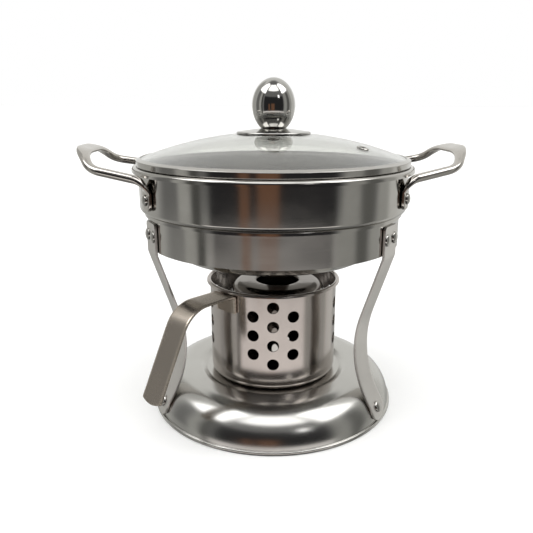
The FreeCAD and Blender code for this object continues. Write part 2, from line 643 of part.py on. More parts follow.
def buildPan():
    pan = spun("pan_shell", [
        (None, "pan_bottom", None),
        ("pan_bottom_radius", "pan_bottom", "pan_bottom_round"),
        ("pan_lower_radius", "pan_haunch_height", "pan_haunch_round"),
        ("pan_lower_radius", "pan_step", "bend_edge"),
        ("pan_upper_radius", "pan_step", "pan_step_round"),
        ("pan_upper_radius", "pan_rim_underside", "pan_rim_round"),
        ("pan_rim_inner", "pan_rim_underside", "pan_rim_round"),
        ("pan_rim_inner", "pan_rim_bottom", None),
    ], "sheet_gauge")
    places = handleRivetPlaces(*handleDirections.values())
    return cut("pot_body", pan, [drill("pan", places, "handle_rivet_shank")])


def handleRuns(armLength):
    # Half a handle, from a tab's lower end to the end of its corner. Each run is (length, turn,
    # climb, width, thickness and tilt at its end), angles in degrees.
    tab = (size("handle_tab_width"), size("handle_tab_thickness"))
    rod = (size("handle_rod_width"), size("handle_rod_thickness"))
    grip = (size("handle_grip_width"), size("handle_grip_thickness"))
    slope, kick, kickTurn = (size(f"handle_{name}_angle") for name in ("slope", "kick", "kick_turn"))
    tabEnd = size("handle_tab_round")
    arm, tilt = size("handle_arm_angle"), size("handle_grip_tilt_angle")
    bend = math.radians(90 - slope) * size("handle_bend")
    corner = math.radians(90) * size("handle_corner")
    return [
        (tabEnd / 4, 0, 0, tab[0] * 0.8, tab[1], 0),
        (tabEnd / 3, 0, 0, tab[0] * 0.95, tab[1], 0),
        (tabEnd * 5 / 12, 0, 0, *tab, 0),
        (size("handle_tab_length") - tabEnd, 0, 0, *tab, 0),
        (bend, size("handle_side_angle") + arm, slope - 90, *rod, 0),
        (armLength, 0, 0, *rod, 0),
        (corner / 3, kickTurn, kick - slope, *rod, tilt / 2),
        (corner * 2 / 3, 90 - kickTurn - arm, -kick, *grip, tilt),
    ]


def tabRadius():
    return size("pan_upper_radius") + size("handle_standoff") + size("handle_tab_thickness") / 2


def marchHandle(armLength):
    # Follows the runs to the middle of the grip. Returns the stations as (point, heading, slope,
    # width, thickness, tilt).
    point = direction(90 - size("handle_side_angle")) * tabRadius()
    point.z = size("handle_tab_bottom")
    heading = -size("handle_side_angle")
    slope = 90
    width = size("handle_tab_width") / 2
    thickness = size("handle_tab_thickness") * 0.8
    tilt = 0
    stations = [(Vector(point), heading, slope, width, thickness, tilt)]
    for length, turn, climb, endWidth, endThickness, endTilt in handleRuns(armLength):
        steps = max(1, math.ceil(max(abs(turn), abs(climb)) / size("handle_step_angle")))
        startWidth, startThickness, startTilt = width, thickness, tilt
        for step in range(1, steps + 1):
            across = math.radians(heading + turn / steps / 2)
            up = math.radians(slope + climb / steps / 2)
            point = point + Vector(math.cos(across) * math.cos(up), math.sin(across) * math.cos(up),
                                   math.sin(up)) * (length / steps)
            heading += turn / steps
            slope += climb / steps
            share = step / steps
            width = startWidth + (endWidth - startWidth) * share
            thickness = startThickness + (endThickness - startThickness) * share
            tilt = startTilt + (endTilt - startTilt) * share
            stations.append((Vector(point), heading, slope, width, thickness, tilt))
    stations.append((Vector(point.x, 0, point.z), heading, slope, width, thickness, tilt))
    return stations


def section(point, heading, slope, width, thickness, tilt):
    # Oval section across the rod, tilted about it.
    ahead, up = math.radians(heading), math.radians(slope)
    along = Vector(math.cos(ahead) * math.cos(up), math.sin(ahead) * math.cos(up), math.sin(up))
    across = Rotation(along, -tilt).multVec(Vector(-math.sin(ahead), math.cos(ahead), 0))
    matrix = FreeCAD.Matrix()
    for column, axis in enumerate((across, along.cross(across), along, point), start=1):
        for row, value in enumerate((axis.x, axis.y, axis.z), start=1):
            setattr(matrix, f"A{row}{column}", value)
    oval = Part.Ellipse(Vector(), width / 2, thickness / 2).toShape()
    wire = Part.Wire([oval])
    wire.Placement = Placement(matrix)
    return wire


def buildHandle(label, middle):
    armLength = size("handle_reach") - marchHandle(0)[-1][0].x
    for name in ("handle_slope_angle", "handle_arm_angle"):
        armLength /= math.cos(math.radians(size(name)))
    half = marchHandle(armLength)
    mirrored = [(Vector(point.x, -point.y, point.z), 180 - heading, -slope, *sizes)
                for point, heading, slope, *sizes in reversed(half[:-1])]
    loop = doc.addObject("Part::Feature", f"{label}_loop")
    loop.Shape = Part.makeLoft([section(*station) for station in half + mirrored], True, True)
    places = handleRivetPlaces(drawnDirection)
    piece = cut(label, loop, [drill(label, places, "handle_rivet_shank")])
    piece.Placement = Placement(Vector(), outwardTurn(middle))
    return piece


def buildHandleRivets():
    original = rivet("handle_rivet", "handle_rivet_radius", "handle_rivet_head", "handle_rivet_shank",
                     "handle_rivet_grip", "handle_rivet_tail", "rivet_tail_height")
    return copies("pot_handle_rivets", original, handleRivetPlaces(*handleDirections.values()))


# Lid
def buildGlass():
    outer = doc.addObject("Part::Sphere", "glass_outside")
    bind(outer, Radius="glass_sphere")
    inner = doc.addObject("Part::Sphere", "glass_inside")
    bind(inner, Radius="glass_inner_sphere")
    for ball in (outer, inner):
        ball.setExpression("Placement.Base.z", "Sizes.glass_centre")
    shell = cut("glass_shell", outer, [inner])
    disc = cylinder("glass_disc", "Sizes.glass_radius", "2 * Sizes.glass_top")
    dome = doc.addObject("Part::Common", "glass_dome")
    dome.Base = shell
    dome.Tool = disc
    bore = cylinder("glass_bore", "Sizes.screw_hole_radius", "2 * Sizes.glass_top")
    vent = drill("vent", [ventPlace()], "vent_barrel_radius")
    return cut("lid_glass", dome, [bore, vent])


def ventPlace():
    # On the outside of the dome, square to it.
    distance = size("vent_distance")
    sphere = size("glass_sphere")
    tilt = math.degrees(math.asin(distance / sphere))
    height = size("glass_centre") + math.sqrt(sphere**2 - distance**2)
    return radialPlacement(size("vent_direction_angle"), distance, height, climb=90 - tilt)


def buildRimBand():
    return spun("lid_rim_band", [
        ("band_top_radius", "band_flange_height", None),
        ("band_wall_radius", "band_edge_height", None),
        ("band_wall_radius", "band_floor_height", None),
        ("band_lip_radius", "band_lip_height", "bend_lip"),
        ("band_lip_radius", "band_lip_bottom", None),
    ], "band_gauge")


def buildVent():
    eyelet = turned("vent_grommet", [
        ("vent_bore_radius", "vent_bottom", None),
        ("vent_flange_radius", "vent_bottom", None),
        ("vent_flange_radius", "vent_lower", None),
        ("vent_barrel_radius", "vent_lower", None),
        ("vent_barrel_radius", "vent_upper", None),
        ("vent_flange_radius", "vent_upper", None),
        ("vent_flange_radius", "vent_top", "vent_round"),
        ("vent_bore_radius", "vent_top", None),
    ])
    eyelet.Placement = ventPlace()
    return eyelet


def buildKnob():
    # Egg with its foot cut level.
    egg = doc.addObject("Part::Ellipsoid", "knob_egg")
    bind(egg, Radius1="knob_half_height", Radius2="knob_radius", Radius3="knob_radius")
    egg.setExpression("Placement.Base.z", "Sizes.knob_centre")
    below = cylinder("knob_below", "2 * Sizes.knob_radius", "Sizes.knob_bottom")
    bore = cylinder("knob_bore", "Sizes.screw_hole_radius", "Sizes.screw_bore_top")
    return cut("lid_knob", egg, [below, bore])


def buildKnobStack():
    disc = spun("knob_disc", [
        ("screw_hole_radius", "disc_top", None),
        ("knob_disc_crown", "disc_top", "bend_small"),
        ("knob_disc_radius", "disc_edge_top", "bend_edge"),
        ("knob_disc_radius", "disc_edge_bottom", None),
    ], "sheet_gauge", inward=True)
    gasket = turned("knob_gasket", [
        ("screw_hole_radius", "gasket_bottom", None),
        ("gasket_radius", "gasket_bottom", "bend_hair"),
        ("gasket_radius", "gasket_top", "bend_hair"),
        ("screw_hole_radius", "gasket_top", None),
    ])
    washer = turned("knob_washer", [
        ("screw_hole_radius", "washer_bottom", None),
        ("washer_radius", "washer_bottom", "bend_hair"),
        ("washer_radius", "washer_top", "bend_hair"),
        ("screw_hole_radius", "washer_top", None),
    ])
    screw = turned("knob_screw", [
        (None, "screw_head_bottom", None),
        ("screw_head_radius", "screw_head_bottom", "bend_edge"),
        ("screw_head_radius", "screw_head_top", None),
        ("screw_radius", "screw_head_top", None),
        ("screw_radius", "screw_tip", "bend_tight"),
        (None, "screw_tip", None),
    ])
    return [disc, gasket, washer, screw]


# Burner
def shellHolePlaces():
    # Four groups of ten: a middle column of four between two columns of three.
    places = []
    for middle in (0, 90, 180, 270):
        for column in (-1, 0, 1):
            rows = 4 if column == 0 else 3
            lift = 0 if column == 0 else size("vent_hole_pitch") / 2
            for row in range(rows):
                height = size("vent_hole_start") + lift + row * size("vent_hole_pitch")
                turn = middle + column * size("vent_hole_turn_angle")
                places.append(radialPlacement(turn, size("burner_radius"), height))
    return places


def buildBurnerShell():
    shell = spun("shell_blank", [
        (None, "burner_bottom", None),
        ("burner_radius", "burner_bottom", "burner_bottom_round"),
        ("burner_radius", "burner_rim_underside", "burner_roll_round"),
        ("burner_rim_inner", "burner_rim_underside", "burner_roll_round"),
        ("burner_rim_inner", "burner_rim_bottom", None),
    ], "sheet_gauge")
    punch = cylinder("shell_punch", "Sizes.vent_hole_radius", "2 * Sizes.drill_reach")
    punch.setExpression("Placement.Base.z", "-Sizes.drill_reach")
    return cut("burner_shell", shell, [copies("shell_punches", punch, shellHolePlaces())])


def buildBurnerHandle():
    # The hanging end is cut to a shallow curve.
    strip = bar("burner_handle", [
        ("grip_tab_radius", "grip_tab_bottom", None),
        ("grip_tab_radius", "grip_top", "bend_bar"),
        ("grip_shoulder", "grip_top", "grip_shoulder_round"),
        ("grip_end_radius", "grip_end_height", None),
    ], "strip_gauge", "grip_width", inward=True)
    reach = "Sizes.grip_end_radius + Sizes.grip_width"
    curve = cylinder("burner_handle_curve", "Sizes.grip_end_curve", reach)
    curve.Placement.Rotation = Rotation(Vector(0, 1, 0), 90)
    above = doc.addObject("Part::Box", "burner_handle_above")
    bind(above, Width="grip_width", Height="grip_top")
    above.setExpression("Length", reach)
    above.setExpression("Placement.Base.y", "-Sizes.grip_width / 2")
    for tool in (curve, above):
        tool.setExpression("Placement.Base.z",
                           "Sizes.grip_end_height + Sizes.grip_end_trim + Sizes.grip_end_curve")
    blank = doc.addObject("Part::Fuse", "burner_handle_blank")
    blank.Base = curve
    blank.Tool = above
    piece = doc.addObject("Part::Common", "burner_handle")
    piece.Base = strip
    piece.Tool = blank
    piece.Placement = Placement(Vector(), outwardTurn(size("grip_direction_angle")))
    return piece


def buildCan():
    can = spun("fuel_can", [
        (None, "can_bottom", None),
        ("can_radius", "can_bottom", "can_round"),
        ("can_radius", "can_rim", None),
    ], "can_gauge")
    cover = spun("fuel_can_cover", [
        ("cover_radius", "cover_skirt_bottom", None),
        ("cover_radius", "cover_top", "cover_round"),
        ("flame_opening_radius", "cover_top", "bend_edge"),
        ("flame_opening_radius", "flame_lip_bottom", None),
    ], "can_gauge")
    wick = turned("wick_pad", [
        (None, "wick_bottom", None),
        ("wick_radius", "wick_bottom", "can_round"),
        ("wick_radius", "wick_top", "bend_small"),
        (None, "wick_top", None),
    ])
    for piece in (can, cover, wick):
        piece.Placement.Base = Vector(size("can_offset"), 0, 0)
    return [can, cover, wick]


# Assembly
pieces = [buildBase(), buildRing()]
pieces += [buildLeg(name, turn) for name, turn in zip(legNames, legDirections)]
pieces += buildStandRivets()
pieces += [buildPan(), buildHandleRivets()]
pieces += [buildHandle(name, middle) for name, middle in handleDirections.items()]
pieces += [buildGlass(), buildRimBand(), buildVent(), buildKnob()]
pieces += buildKnobStack()
pieces += [buildBurnerShell(), buildBurnerHandle()]
pieces += buildCan()
doc.recompute()

for item in doc.Objects:
    if "Invalid" in item.State or "Error" in item.State:
        raise RuntimeError(f"{item.Label} did not build")
for piece in pieces:
    shape = piece.Shape
    if shape.isNull() or not shape.isValid() or not shape.Solids:
        raise RuntimeError(f"{piece.Label} has no sound solid")
    shape.exportStep(f"parts/{piece.Label}.step")
    print(piece.Label, len(shape.Solids), round(shape.Volume))
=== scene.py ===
import bpy
import bmesh
import math
from mathutils import Matrix, Vector


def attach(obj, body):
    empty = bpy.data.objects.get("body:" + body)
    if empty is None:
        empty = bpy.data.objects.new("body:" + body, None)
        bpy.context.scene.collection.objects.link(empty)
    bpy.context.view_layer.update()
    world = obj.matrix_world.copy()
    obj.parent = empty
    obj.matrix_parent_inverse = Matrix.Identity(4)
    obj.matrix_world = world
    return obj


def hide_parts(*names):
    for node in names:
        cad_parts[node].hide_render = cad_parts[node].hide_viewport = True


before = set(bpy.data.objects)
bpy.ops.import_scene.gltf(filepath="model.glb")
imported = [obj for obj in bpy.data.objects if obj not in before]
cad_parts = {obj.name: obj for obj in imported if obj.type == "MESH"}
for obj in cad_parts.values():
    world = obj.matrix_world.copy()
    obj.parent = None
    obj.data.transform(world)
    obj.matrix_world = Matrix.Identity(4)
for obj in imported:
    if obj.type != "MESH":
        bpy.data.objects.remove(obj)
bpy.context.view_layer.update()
mm = 0.001  # every size below is in millimetres, every mesh in metres
contactGap = 0.05  # between fixed pieces where they meet


# Colours and nodes
def linearColour(hexColour):
    channels = [int(hexColour[i:i + 2], 16) / 255 for i in (1, 3, 5)]
    return (*[c / 12.92 if c <= 0.04045 else ((c + 0.055) / 1.055) ** 2.4 for c in channels], 1.0)


def addNode(tree, kind, settings=None, inputs=None):
    node = tree.nodes.new(kind)
    for name, value in (settings or {}).items():
        setattr(node, name, value)
    for name, value in (inputs or {}).items():
        if isinstance(value, bpy.types.NodeSocket):
            tree.links.new(value, node.inputs[name])
        else:
            node.inputs[name].default_value = value
    return node


def newMaterial(name):
    material = bpy.data.materials.new(name)
    material.use_nodes = True
    tree = material.node_tree
    tree.nodes.clear()
    output = addNode(tree, "ShaderNodeOutputMaterial")
    shader = addNode(tree, "ShaderNodeBsdfPrincipled")
    tree.links.new(shader.outputs["BSDF"], output.inputs["Surface"])
    return material, tree, shader


def roundPosition(tree):
    # Object position unrolled round the upright axis: radius, angle times a mean radius, height.
    meanRadius = 60
    place = addNode(tree, "ShaderNodeTexCoord").outputs["Object"]
    parts = addNode(tree, "ShaderNodeSeparateXYZ", inputs={"Vector": place})
    flat = addNode(tree, "ShaderNodeCombineXYZ", inputs={"X": parts.outputs["X"], "Y": parts.outputs["Y"]})
    radius = addNode(tree, "ShaderNodeVectorMath", {"operation": "LENGTH"}, {0: flat.outputs[0]})
    angle = addNode(tree, "ShaderNodeMath", {"operation": "ARCTAN2"},
                    {0: parts.outputs["Y"], 1: parts.outputs["X"]})
    arc = addNode(tree, "ShaderNodeMath", {"operation": "MULTIPLY"},
                  {0: angle.outputs[0], 1: meanRadius * mm})
    return addNode(tree, "ShaderNodeCombineXYZ", inputs={
        "X": radius.outputs["Value"], "Y": arc.outputs[0], "Z": parts.outputs["Z"]}).outputs[0]


def steel(name, look):
    # look: colour, duller colour, roughness, grain spacing and run in mm, its depth in microns,
    # dents (spacing in mm, depth in microns), haze spacing in mm and anisotropy. "round" turns the
    # grain about the axis, and "grainAxis" is the axis along which its lines run.
    noiseSpan = (0.35, 1.15)  # what half the grain and the haze come to together
    material, tree, shader = newMaterial(name)
    if look.get("round"):
        place = roundPosition(tree)
    else:
        place = addNode(tree, "ShaderNodeTexCoord").outputs["Object"]
    spacing, run = look["grain"]
    stretch = [1 / (spacing * mm)] * 3
    stretch[look.get("grainAxis", 1)] = 1 / (run * mm)
    grainPlace = addNode(tree, "ShaderNodeVectorMath", {"operation": "MULTIPLY"},
                         {0: place, 1: stretch})
    grain = addNode(tree, "ShaderNodeTexNoise", inputs={
        "Vector": grainPlace.outputs[0], "Scale": 1.0, "Detail": 3.0, "Roughness": 0.6})
    dentSpacing, dentDepth = look["dents"]
    dents = addNode(tree, "ShaderNodeTexNoise", inputs={
        "Vector": place, "Scale": 1 / (dentSpacing * mm), "Detail": 1.0, "Roughness": 0.4})
    haze = addNode(tree, "ShaderNodeTexNoise", inputs={
        "Vector": place, "Scale": 1 / (look.get("haze", 18) * mm), "Detail": 4.0, "Roughness": 0.65})
    both = addNode(tree, "ShaderNodeMath", {"operation": "MULTIPLY_ADD"},
                   {0: grain.outputs[0], 1: 0.5, 2: haze.outputs[0]})
    low, high = look["roughness"]
    rough = addNode(tree, "ShaderNodeMapRange", inputs={
        "Value": both.outputs[0], "From Min": noiseSpan[0], "From Max": noiseSpan[1],
        "To Min": low, "To Max": high})
    tint = addNode(tree, "ShaderNodeMix", {"data_type": "RGBA"}, {
        "Factor": haze.outputs[0], "A": linearColour(look["colour"]), "B": linearColour(look["duller"])})
    wavy = addNode(tree, "ShaderNodeBump", inputs={
        "Height": dents.outputs[0], "Strength": 1.0, "Distance": dentDepth * mm / 1000})
    bump = addNode(tree, "ShaderNodeBump", inputs={
        "Height": grain.outputs[0], "Strength": 1.0, "Distance": look["depth"] * mm / 1000,
        "Normal": wavy.outputs[0]})
    tree.links.new(tint.outputs["Result"], shader.inputs["Base Color"])
    tree.links.new(rough.outputs[0], shader.inputs["Roughness"])
    tree.links.new(bump.outputs[0], shader.inputs["Normal"])
    shader.inputs["Metallic"].default_value = 1.0
    shader.inputs["Anisotropic"].default_value = look.get("anisotropy", 0.0)
    if look.get("round"):
        tangent = addNode(tree, "ShaderNodeTangent", {"direction_type": "RADIAL", "axis": "Z"})
        tree.links.new(tangent.outputs[0], shader.inputs["Tangent"])
    return material


print("materials")
# Spun and buffed 18/8 stainless: nearly a mirror, drawn out sideways by the buffing wheel's lines
spunSteel = steel("spunStainless", {
    "colour": "#C2C0BC", "duller": "#B2AFAA", "roughness": (0.07, 0.17), "grain": (0.25, 30),
    "depth": 1.2, "dents": (26, 70), "anisotropy": 0.45, "round": True})
# Deep mirror finish of the knob, its plate and the fuel can, with faint haze from handling
mirrorSteel = steel("mirrorStainless", {
    "colour": "#C4C3C0", "duller": "#B4B2AE", "roughness": (0.05, 0.12), "grain": (0.3, 12),
    "depth": 0.4, "dents": (30, 40), "round": True})
# Pressed base: polished over a drawn surface, so that its highlights are wide and their edges soft
pressedSteel = steel("pressedStainless", {
    "colour": "#C8C7C3", "duller": "#BAB8B4", "roughness": (0.17, 0.27), "grain": (0.3, 12),
    "depth": 0.8, "dents": (30, 90), "haze": 40, "round": True})
# Deep-drawn shell: satin, with fine lines up the wall from the draw
satinSteel = steel("satinStainless", {
    "colour": "#C2BBB6", "duller": "#B4ADA8", "roughness": (0.14, 0.24), "grain": (0.25, 12),
    "grainAxis": 2, "depth": 0.8, "dents": (24, 40), "haze": 30, "round": True})
# Cover of the fuel can: polished, its colour darkened as painted shade for the dark pan bottom it reflects
coverSteel = steel("paintedShadeCoverStainless", {
    "colour": "#8D8884", "duller": "#77716C", "roughness": (0.06, 0.14), "grain": (0.3, 12),
    "depth": 0.5, "dents": (18, 40), "round": True})
# Flat bar rolled and tumbled: pale, even and soft
barSteel = steel("tumbledBar", {
    "colour": "#DEDBD7", "duller": "#D2CECA", "roughness": (0.3, 0.42), "grain": (0.25, 9),
    "depth": 2.0, "dents": (16, 50), "grainAxis": 2})
# Bar belt-ground along its length, warm and a little dark
groundSteel = steel("beltGroundBar", {
    "colour": "#D2C8BC", "duller": "#BFB4A8", "roughness": (0.2, 0.32), "grain": (0.18, 20),
    "depth": 2.5, "dents": (24, 60), "grainAxis": 2})
# Drop-forged bar of the pan handles, polished bright
handleSteel = steel("polishedBar", {
    "colour": "#CDC9C4", "duller": "#B4AFA8", "roughness": (0.09, 0.2), "grain": (0.3, 10),
    "depth": 1.0, "dents": (14, 60)})


def clearGlass():
    # Tempered soda-lime glass: clear, with a very faint green tint and a thin uneven film
    material, tree, shader = newMaterial("temperedGlass")
    place = addNode(tree, "ShaderNodeTexCoord").outputs["Object"]
    film = addNode(tree, "ShaderNodeTexNoise", inputs={
        "Vector": place, "Scale": 1 / (30 * mm), "Detail": 3.0, "Roughness": 0.6})
    rough = addNode(tree, "ShaderNodeMapRange", inputs={
        "Value": film.outputs[0], "From Min": 0.45, "From Max": 0.75, "To Min": 0.0, "To Max": 0.04})
    tree.links.new(rough.outputs[0], shader.inputs["Roughness"])
    shader.inputs["Base Color"].default_value = linearColour("#F4F5F1")
    shader.inputs["IOR"].default_value = 1.52
    shader.inputs["Transmission Weight"].default_value = 1.0
    return material


def plainMaterial(name, look):
    # Rubber and fibre: one grained surface with a little unevenness of colour
    material, tree, shader = newMaterial(name)
    place = addNode(tree, "ShaderNodeTexCoord").outputs["Object"]
    grain = addNode(tree, "ShaderNodeTexNoise", inputs={
        "Vector": place, "Scale": 1 / (look["grain"] * mm), "Detail": 4.0, "Roughness": 0.6})
    tint = addNode(tree, "ShaderNodeMix", {"data_type": "RGBA"}, {
        "Factor": grain.outputs[0], "A": linearColour(look["colour"]), "B": linearColour(look["duller"])})
    bump = addNode(tree, "ShaderNodeBump", inputs={
        "Height": grain.outputs[0], "Strength": 1.0, "Distance": look["depth"] * mm / 1000})
    tree.links.new(tint.outputs["Result"], shader.inputs["Base Color"])
    tree.links.new(bump.outputs[0], shader.inputs["Normal"])
    shader.inputs["Roughness"].default_value = look["roughness"]
    return material


lidGlass = clearGlass()
# Silicone washer: milky and matt
silicone = plainMaterial("silicone", {
    "colour": "#8F8F8C", "duller": "#7C7C79", "roughness": 0.55, "grain": 1.5, "depth": 20})
# Compressed cotton in the can: off-white, fuzzy
wickCotton = plainMaterial("wickCotton", {
    "colour": "#CFC9BC", "duller": "#A79F90", "roughness": 0.95, "grain": 0.8, "depth": 300})


# Meshes
def finishPiece(name, mesh, material, body, node, sharp=35):
    mesh.polygons.foreach_set("use_smooth", [True] * len(mesh.polygons))
    mesh.set_sharp_from_angle(angle=math.radians(sharp))
    piece = bpy.data.objects.new(name, mesh)
    bpy.context.scene.collection.objects.link(piece)
    mesh.materials.append(material)
    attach(piece, body)
    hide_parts(node)
    return piece


def roundedPath(corners, step=7):
    # Points of an outline in the radius-height plane; each corner is (radius, height, fillet).
    points = []
    for index, corner in enumerate(corners):
        here = Vector(corner[:2])
        fillet = corner[2] if len(corner) > 2 else 0
        if not fillet:
            points.append(here)
            continue
        back = (Vector(corners[index - 1][:2]) - here).normalized()
        ahead = (Vector(corners[(index + 1) % len(corners)][:2]) - here).normalized()
        half = back.angle(ahead) / 2
        centre = here + (back + ahead).normalized() * (fillet / math.sin(half))
        start = here + back * (fillet / math.tan(half)) - centre
        turn = (math.pi - 2 * half) * (1 if start.cross(here - centre) > 0 else -1)
        count = max(2, round(abs(math.degrees(turn)) / step))
        for number in range(count + 1):
            points.append(centre + Matrix.Rotation(turn * number / count, 2) @ start)
    return points


def sheetSection(corners, gauge):
    # Outline of pressed sheet: the rounded path, and the same moved left by the gauge.
    line = roundedPath(corners)
    moved = []
    for index, point in enumerate(line):
        before = (point - line[index - 1]).normalized() if index else None
        after = (line[index + 1] - point).normalized() if index < len(line) - 1 else None
        before = before or after
        after = after or before
        along = (before + after).normalized()
        left = Vector((-along.y, along.x))
        moved.append(point + left * gauge / max(0.3, math.cos(before.angle(after) / 2)))
    return line + moved[::-1]


def latheMesh(section, segments=192):
    # Turns a closed section, in millimetres, about the upright axis.
    made = bmesh.new()
    rings = []
    for point in section:
        ring = []
        for number in range(segments):
            angle = math.tau * number / segments
            ring.append(made.verts.new(Vector((point.x * math.cos(angle), point.x * math.sin(angle),
                                               point.y)) * mm))
        rings.append(ring)
    for index, ring in enumerate(rings):
        after = (index + 1) % len(rings)
        if section[index].x < 1e-6 and section[after].x < 1e-6:
            continue
        for number in range(segments):
            beside = (number + 1) % segments
            made.faces.new((ring[number], ring[beside], rings[after][beside], rings[after][number]))
    bmesh.ops.remove_doubles(made, verts=made.verts, dist=1e-7)
    bmesh.ops.dissolve_degenerate(made, edges=made.edges, dist=1e-8)
    bmesh.ops.recalc_face_normals(made, faces=made.faces)
    return made


def toMesh(name, made):
    mesh = bpy.data.meshes.new(name)
    made.to_mesh(mesh)
    made.free()
    return mesh


def lathed(name, section, material, body, node, segments=192, offset=(0, 0)):
    made = latheMesh([Vector(point) for point in section], segments)
    bmesh.ops.translate(made, verts=made.verts, vec=Vector((offset[0], offset[1], 0)) * mm)
    return finishPiece(name, toMesh(name, made), material, body, node)


def thickened(name, mesh, gauge, offset, evenOffset=False, brokenEdge=0):
    # Gives an open surface its gauge, and breaks the edges of the sheet where asked.
    holder = bpy.data.objects.new(name, mesh)
    bpy.context.scene.collection.objects.link(holder)
    thick = holder.modifiers.new("gauge", "SOLIDIFY")
    thick.thickness = gauge * mm
    thick.offset = offset
    thick.use_even_offset = evenOffset
    if brokenEdge:
        edge = holder.modifiers.new("edges", "BEVEL")
        edge.width = brokenEdge * mm
        edge.segments = 2
        edge.limit_method = "ANGLE"
        edge.angle_limit = math.radians(50)
    graph = bpy.context.evaluated_depsgraph_get()
    result = bpy.data.meshes.new_from_object(holder.evaluated_get(graph))
    bpy.data.objects.remove(holder)
    return result


def polar(reach, degrees):
    return Vector((reach * math.cos(math.radians(degrees)), reach * math.sin(math.radians(degrees))))


# Stand
print("stand")
base = {
    "gauge": 0.8, "seatRadius": 48.5, "seatHeight": 22, "seatBend": 2.5, "crownRadius": 53.5,
    "crownHeight": 25.4, "crownBend": 6, "shoulder": 23.5, "shoulderHeight": 1.74,
    "skirtRadius": 85.1, "skirtBend": 0.3, "beadRadius": 86.5, "beadHeight": 2.6, "beadRound": 0.85,
    "hem": 3.6,
}
shoulderCentre = Vector((base["skirtRadius"] - base["shoulder"], base["shoulderHeight"]))


def makeBase():
    shoulder = [shoulderCentre + polar(base["shoulder"], degrees) for degrees in range(88, 0, -4)]
    section = sheetSection([
        (0, base["seatHeight"]),
        (base["seatRadius"], base["seatHeight"], base["seatBend"]),
        (base["crownRadius"], base["crownHeight"], base["crownBend"]),
        *[tuple(point) for point in shoulder],
        (base["skirtRadius"], base["beadHeight"], base["skirtBend"]),
        (base["beadRadius"], base["beadHeight"], base["beadRound"]),
        (base["beadRadius"], 0, base["beadRound"]),
        (base["beadRadius"] - base["hem"], 0),
    ], -base["gauge"])
    lathed("basePlate", section, pressedSteel, "stand", "base_plate", 256)


ring = {"gauge": 0.8, "bore": 84.6, "bottom": 118.7, "top": 141.3, "roll": 2.6, "rollDrop": 2.5,
        "rollRound": 1.25}


def makeRing():
    outer = ring["bore"] + ring["roll"]
    section = sheetSection([
        (ring["bore"], ring["bottom"]),
        (ring["bore"], ring["top"], ring["rollRound"]),
        (outer, ring["top"], ring["rollRound"]),
        (outer, ring["top"] - ring["rollDrop"]),
    ], -ring["gauge"])
    lathed("standRing", section, spunSteel, "stand", "stand_ring", 256)


leg = {
    "gauge": 1.5, "width": 18, "top": 137, "plane": 85.45, "bendHeight": 117.2, "bendRadius": 7,
    "lean": 18, "waistRadius": 74, "footStart": 33, "footEnd": 8, "footStraight": 2,
    "footRound": 8.5, "topRound": 2,
    "directions": {"leg_front_left": -63, "leg_front_right": 57, "leg_rear": 177},
}


def legCorners():
    # Inner face of a leg in the radius-height plane, from the ring down to the foot.
    curve = base["shoulder"] + contactGap
    middle = (leg["footStart"] + leg["footEnd"]) / 2
    half = math.radians(leg["footStart"] - leg["footEnd"]) / 2
    footCorner = shoulderCentre + polar(curve / math.cos(half), middle)
    footEnd = shoulderCentre + polar(curve, leg["footEnd"]) \
        + polar(leg["footStraight"], leg["footEnd"] - 90)
    lean, start = math.radians(leg["lean"]), math.radians(leg["footStart"])
    run = ((leg["bendHeight"] - footCorner.y) * math.sin(start)
           - (footCorner.x - leg["plane"]) * math.cos(start)) / math.sin(start + lean)
    waist = (leg["plane"] - run * math.sin(lean), leg["bendHeight"] - run * math.cos(lean))
    return [(leg["plane"], leg["top"]), (leg["plane"], leg["bendHeight"], leg["bendRadius"]),
            (*waist, leg["waistRadius"]), (*footCorner, curve), (*footEnd,)]


def densified(points, spacing):
    # More points along straight stretches, so that widths can change there.
    dense = [points[0]]
    for point in points[1:]:
        count = max(1, math.ceil((point - dense[-1]).length / spacing))
        start = dense[-1]
        dense += [start.lerp(point, number / count) for number in range(1, count + 1)]
    return dense


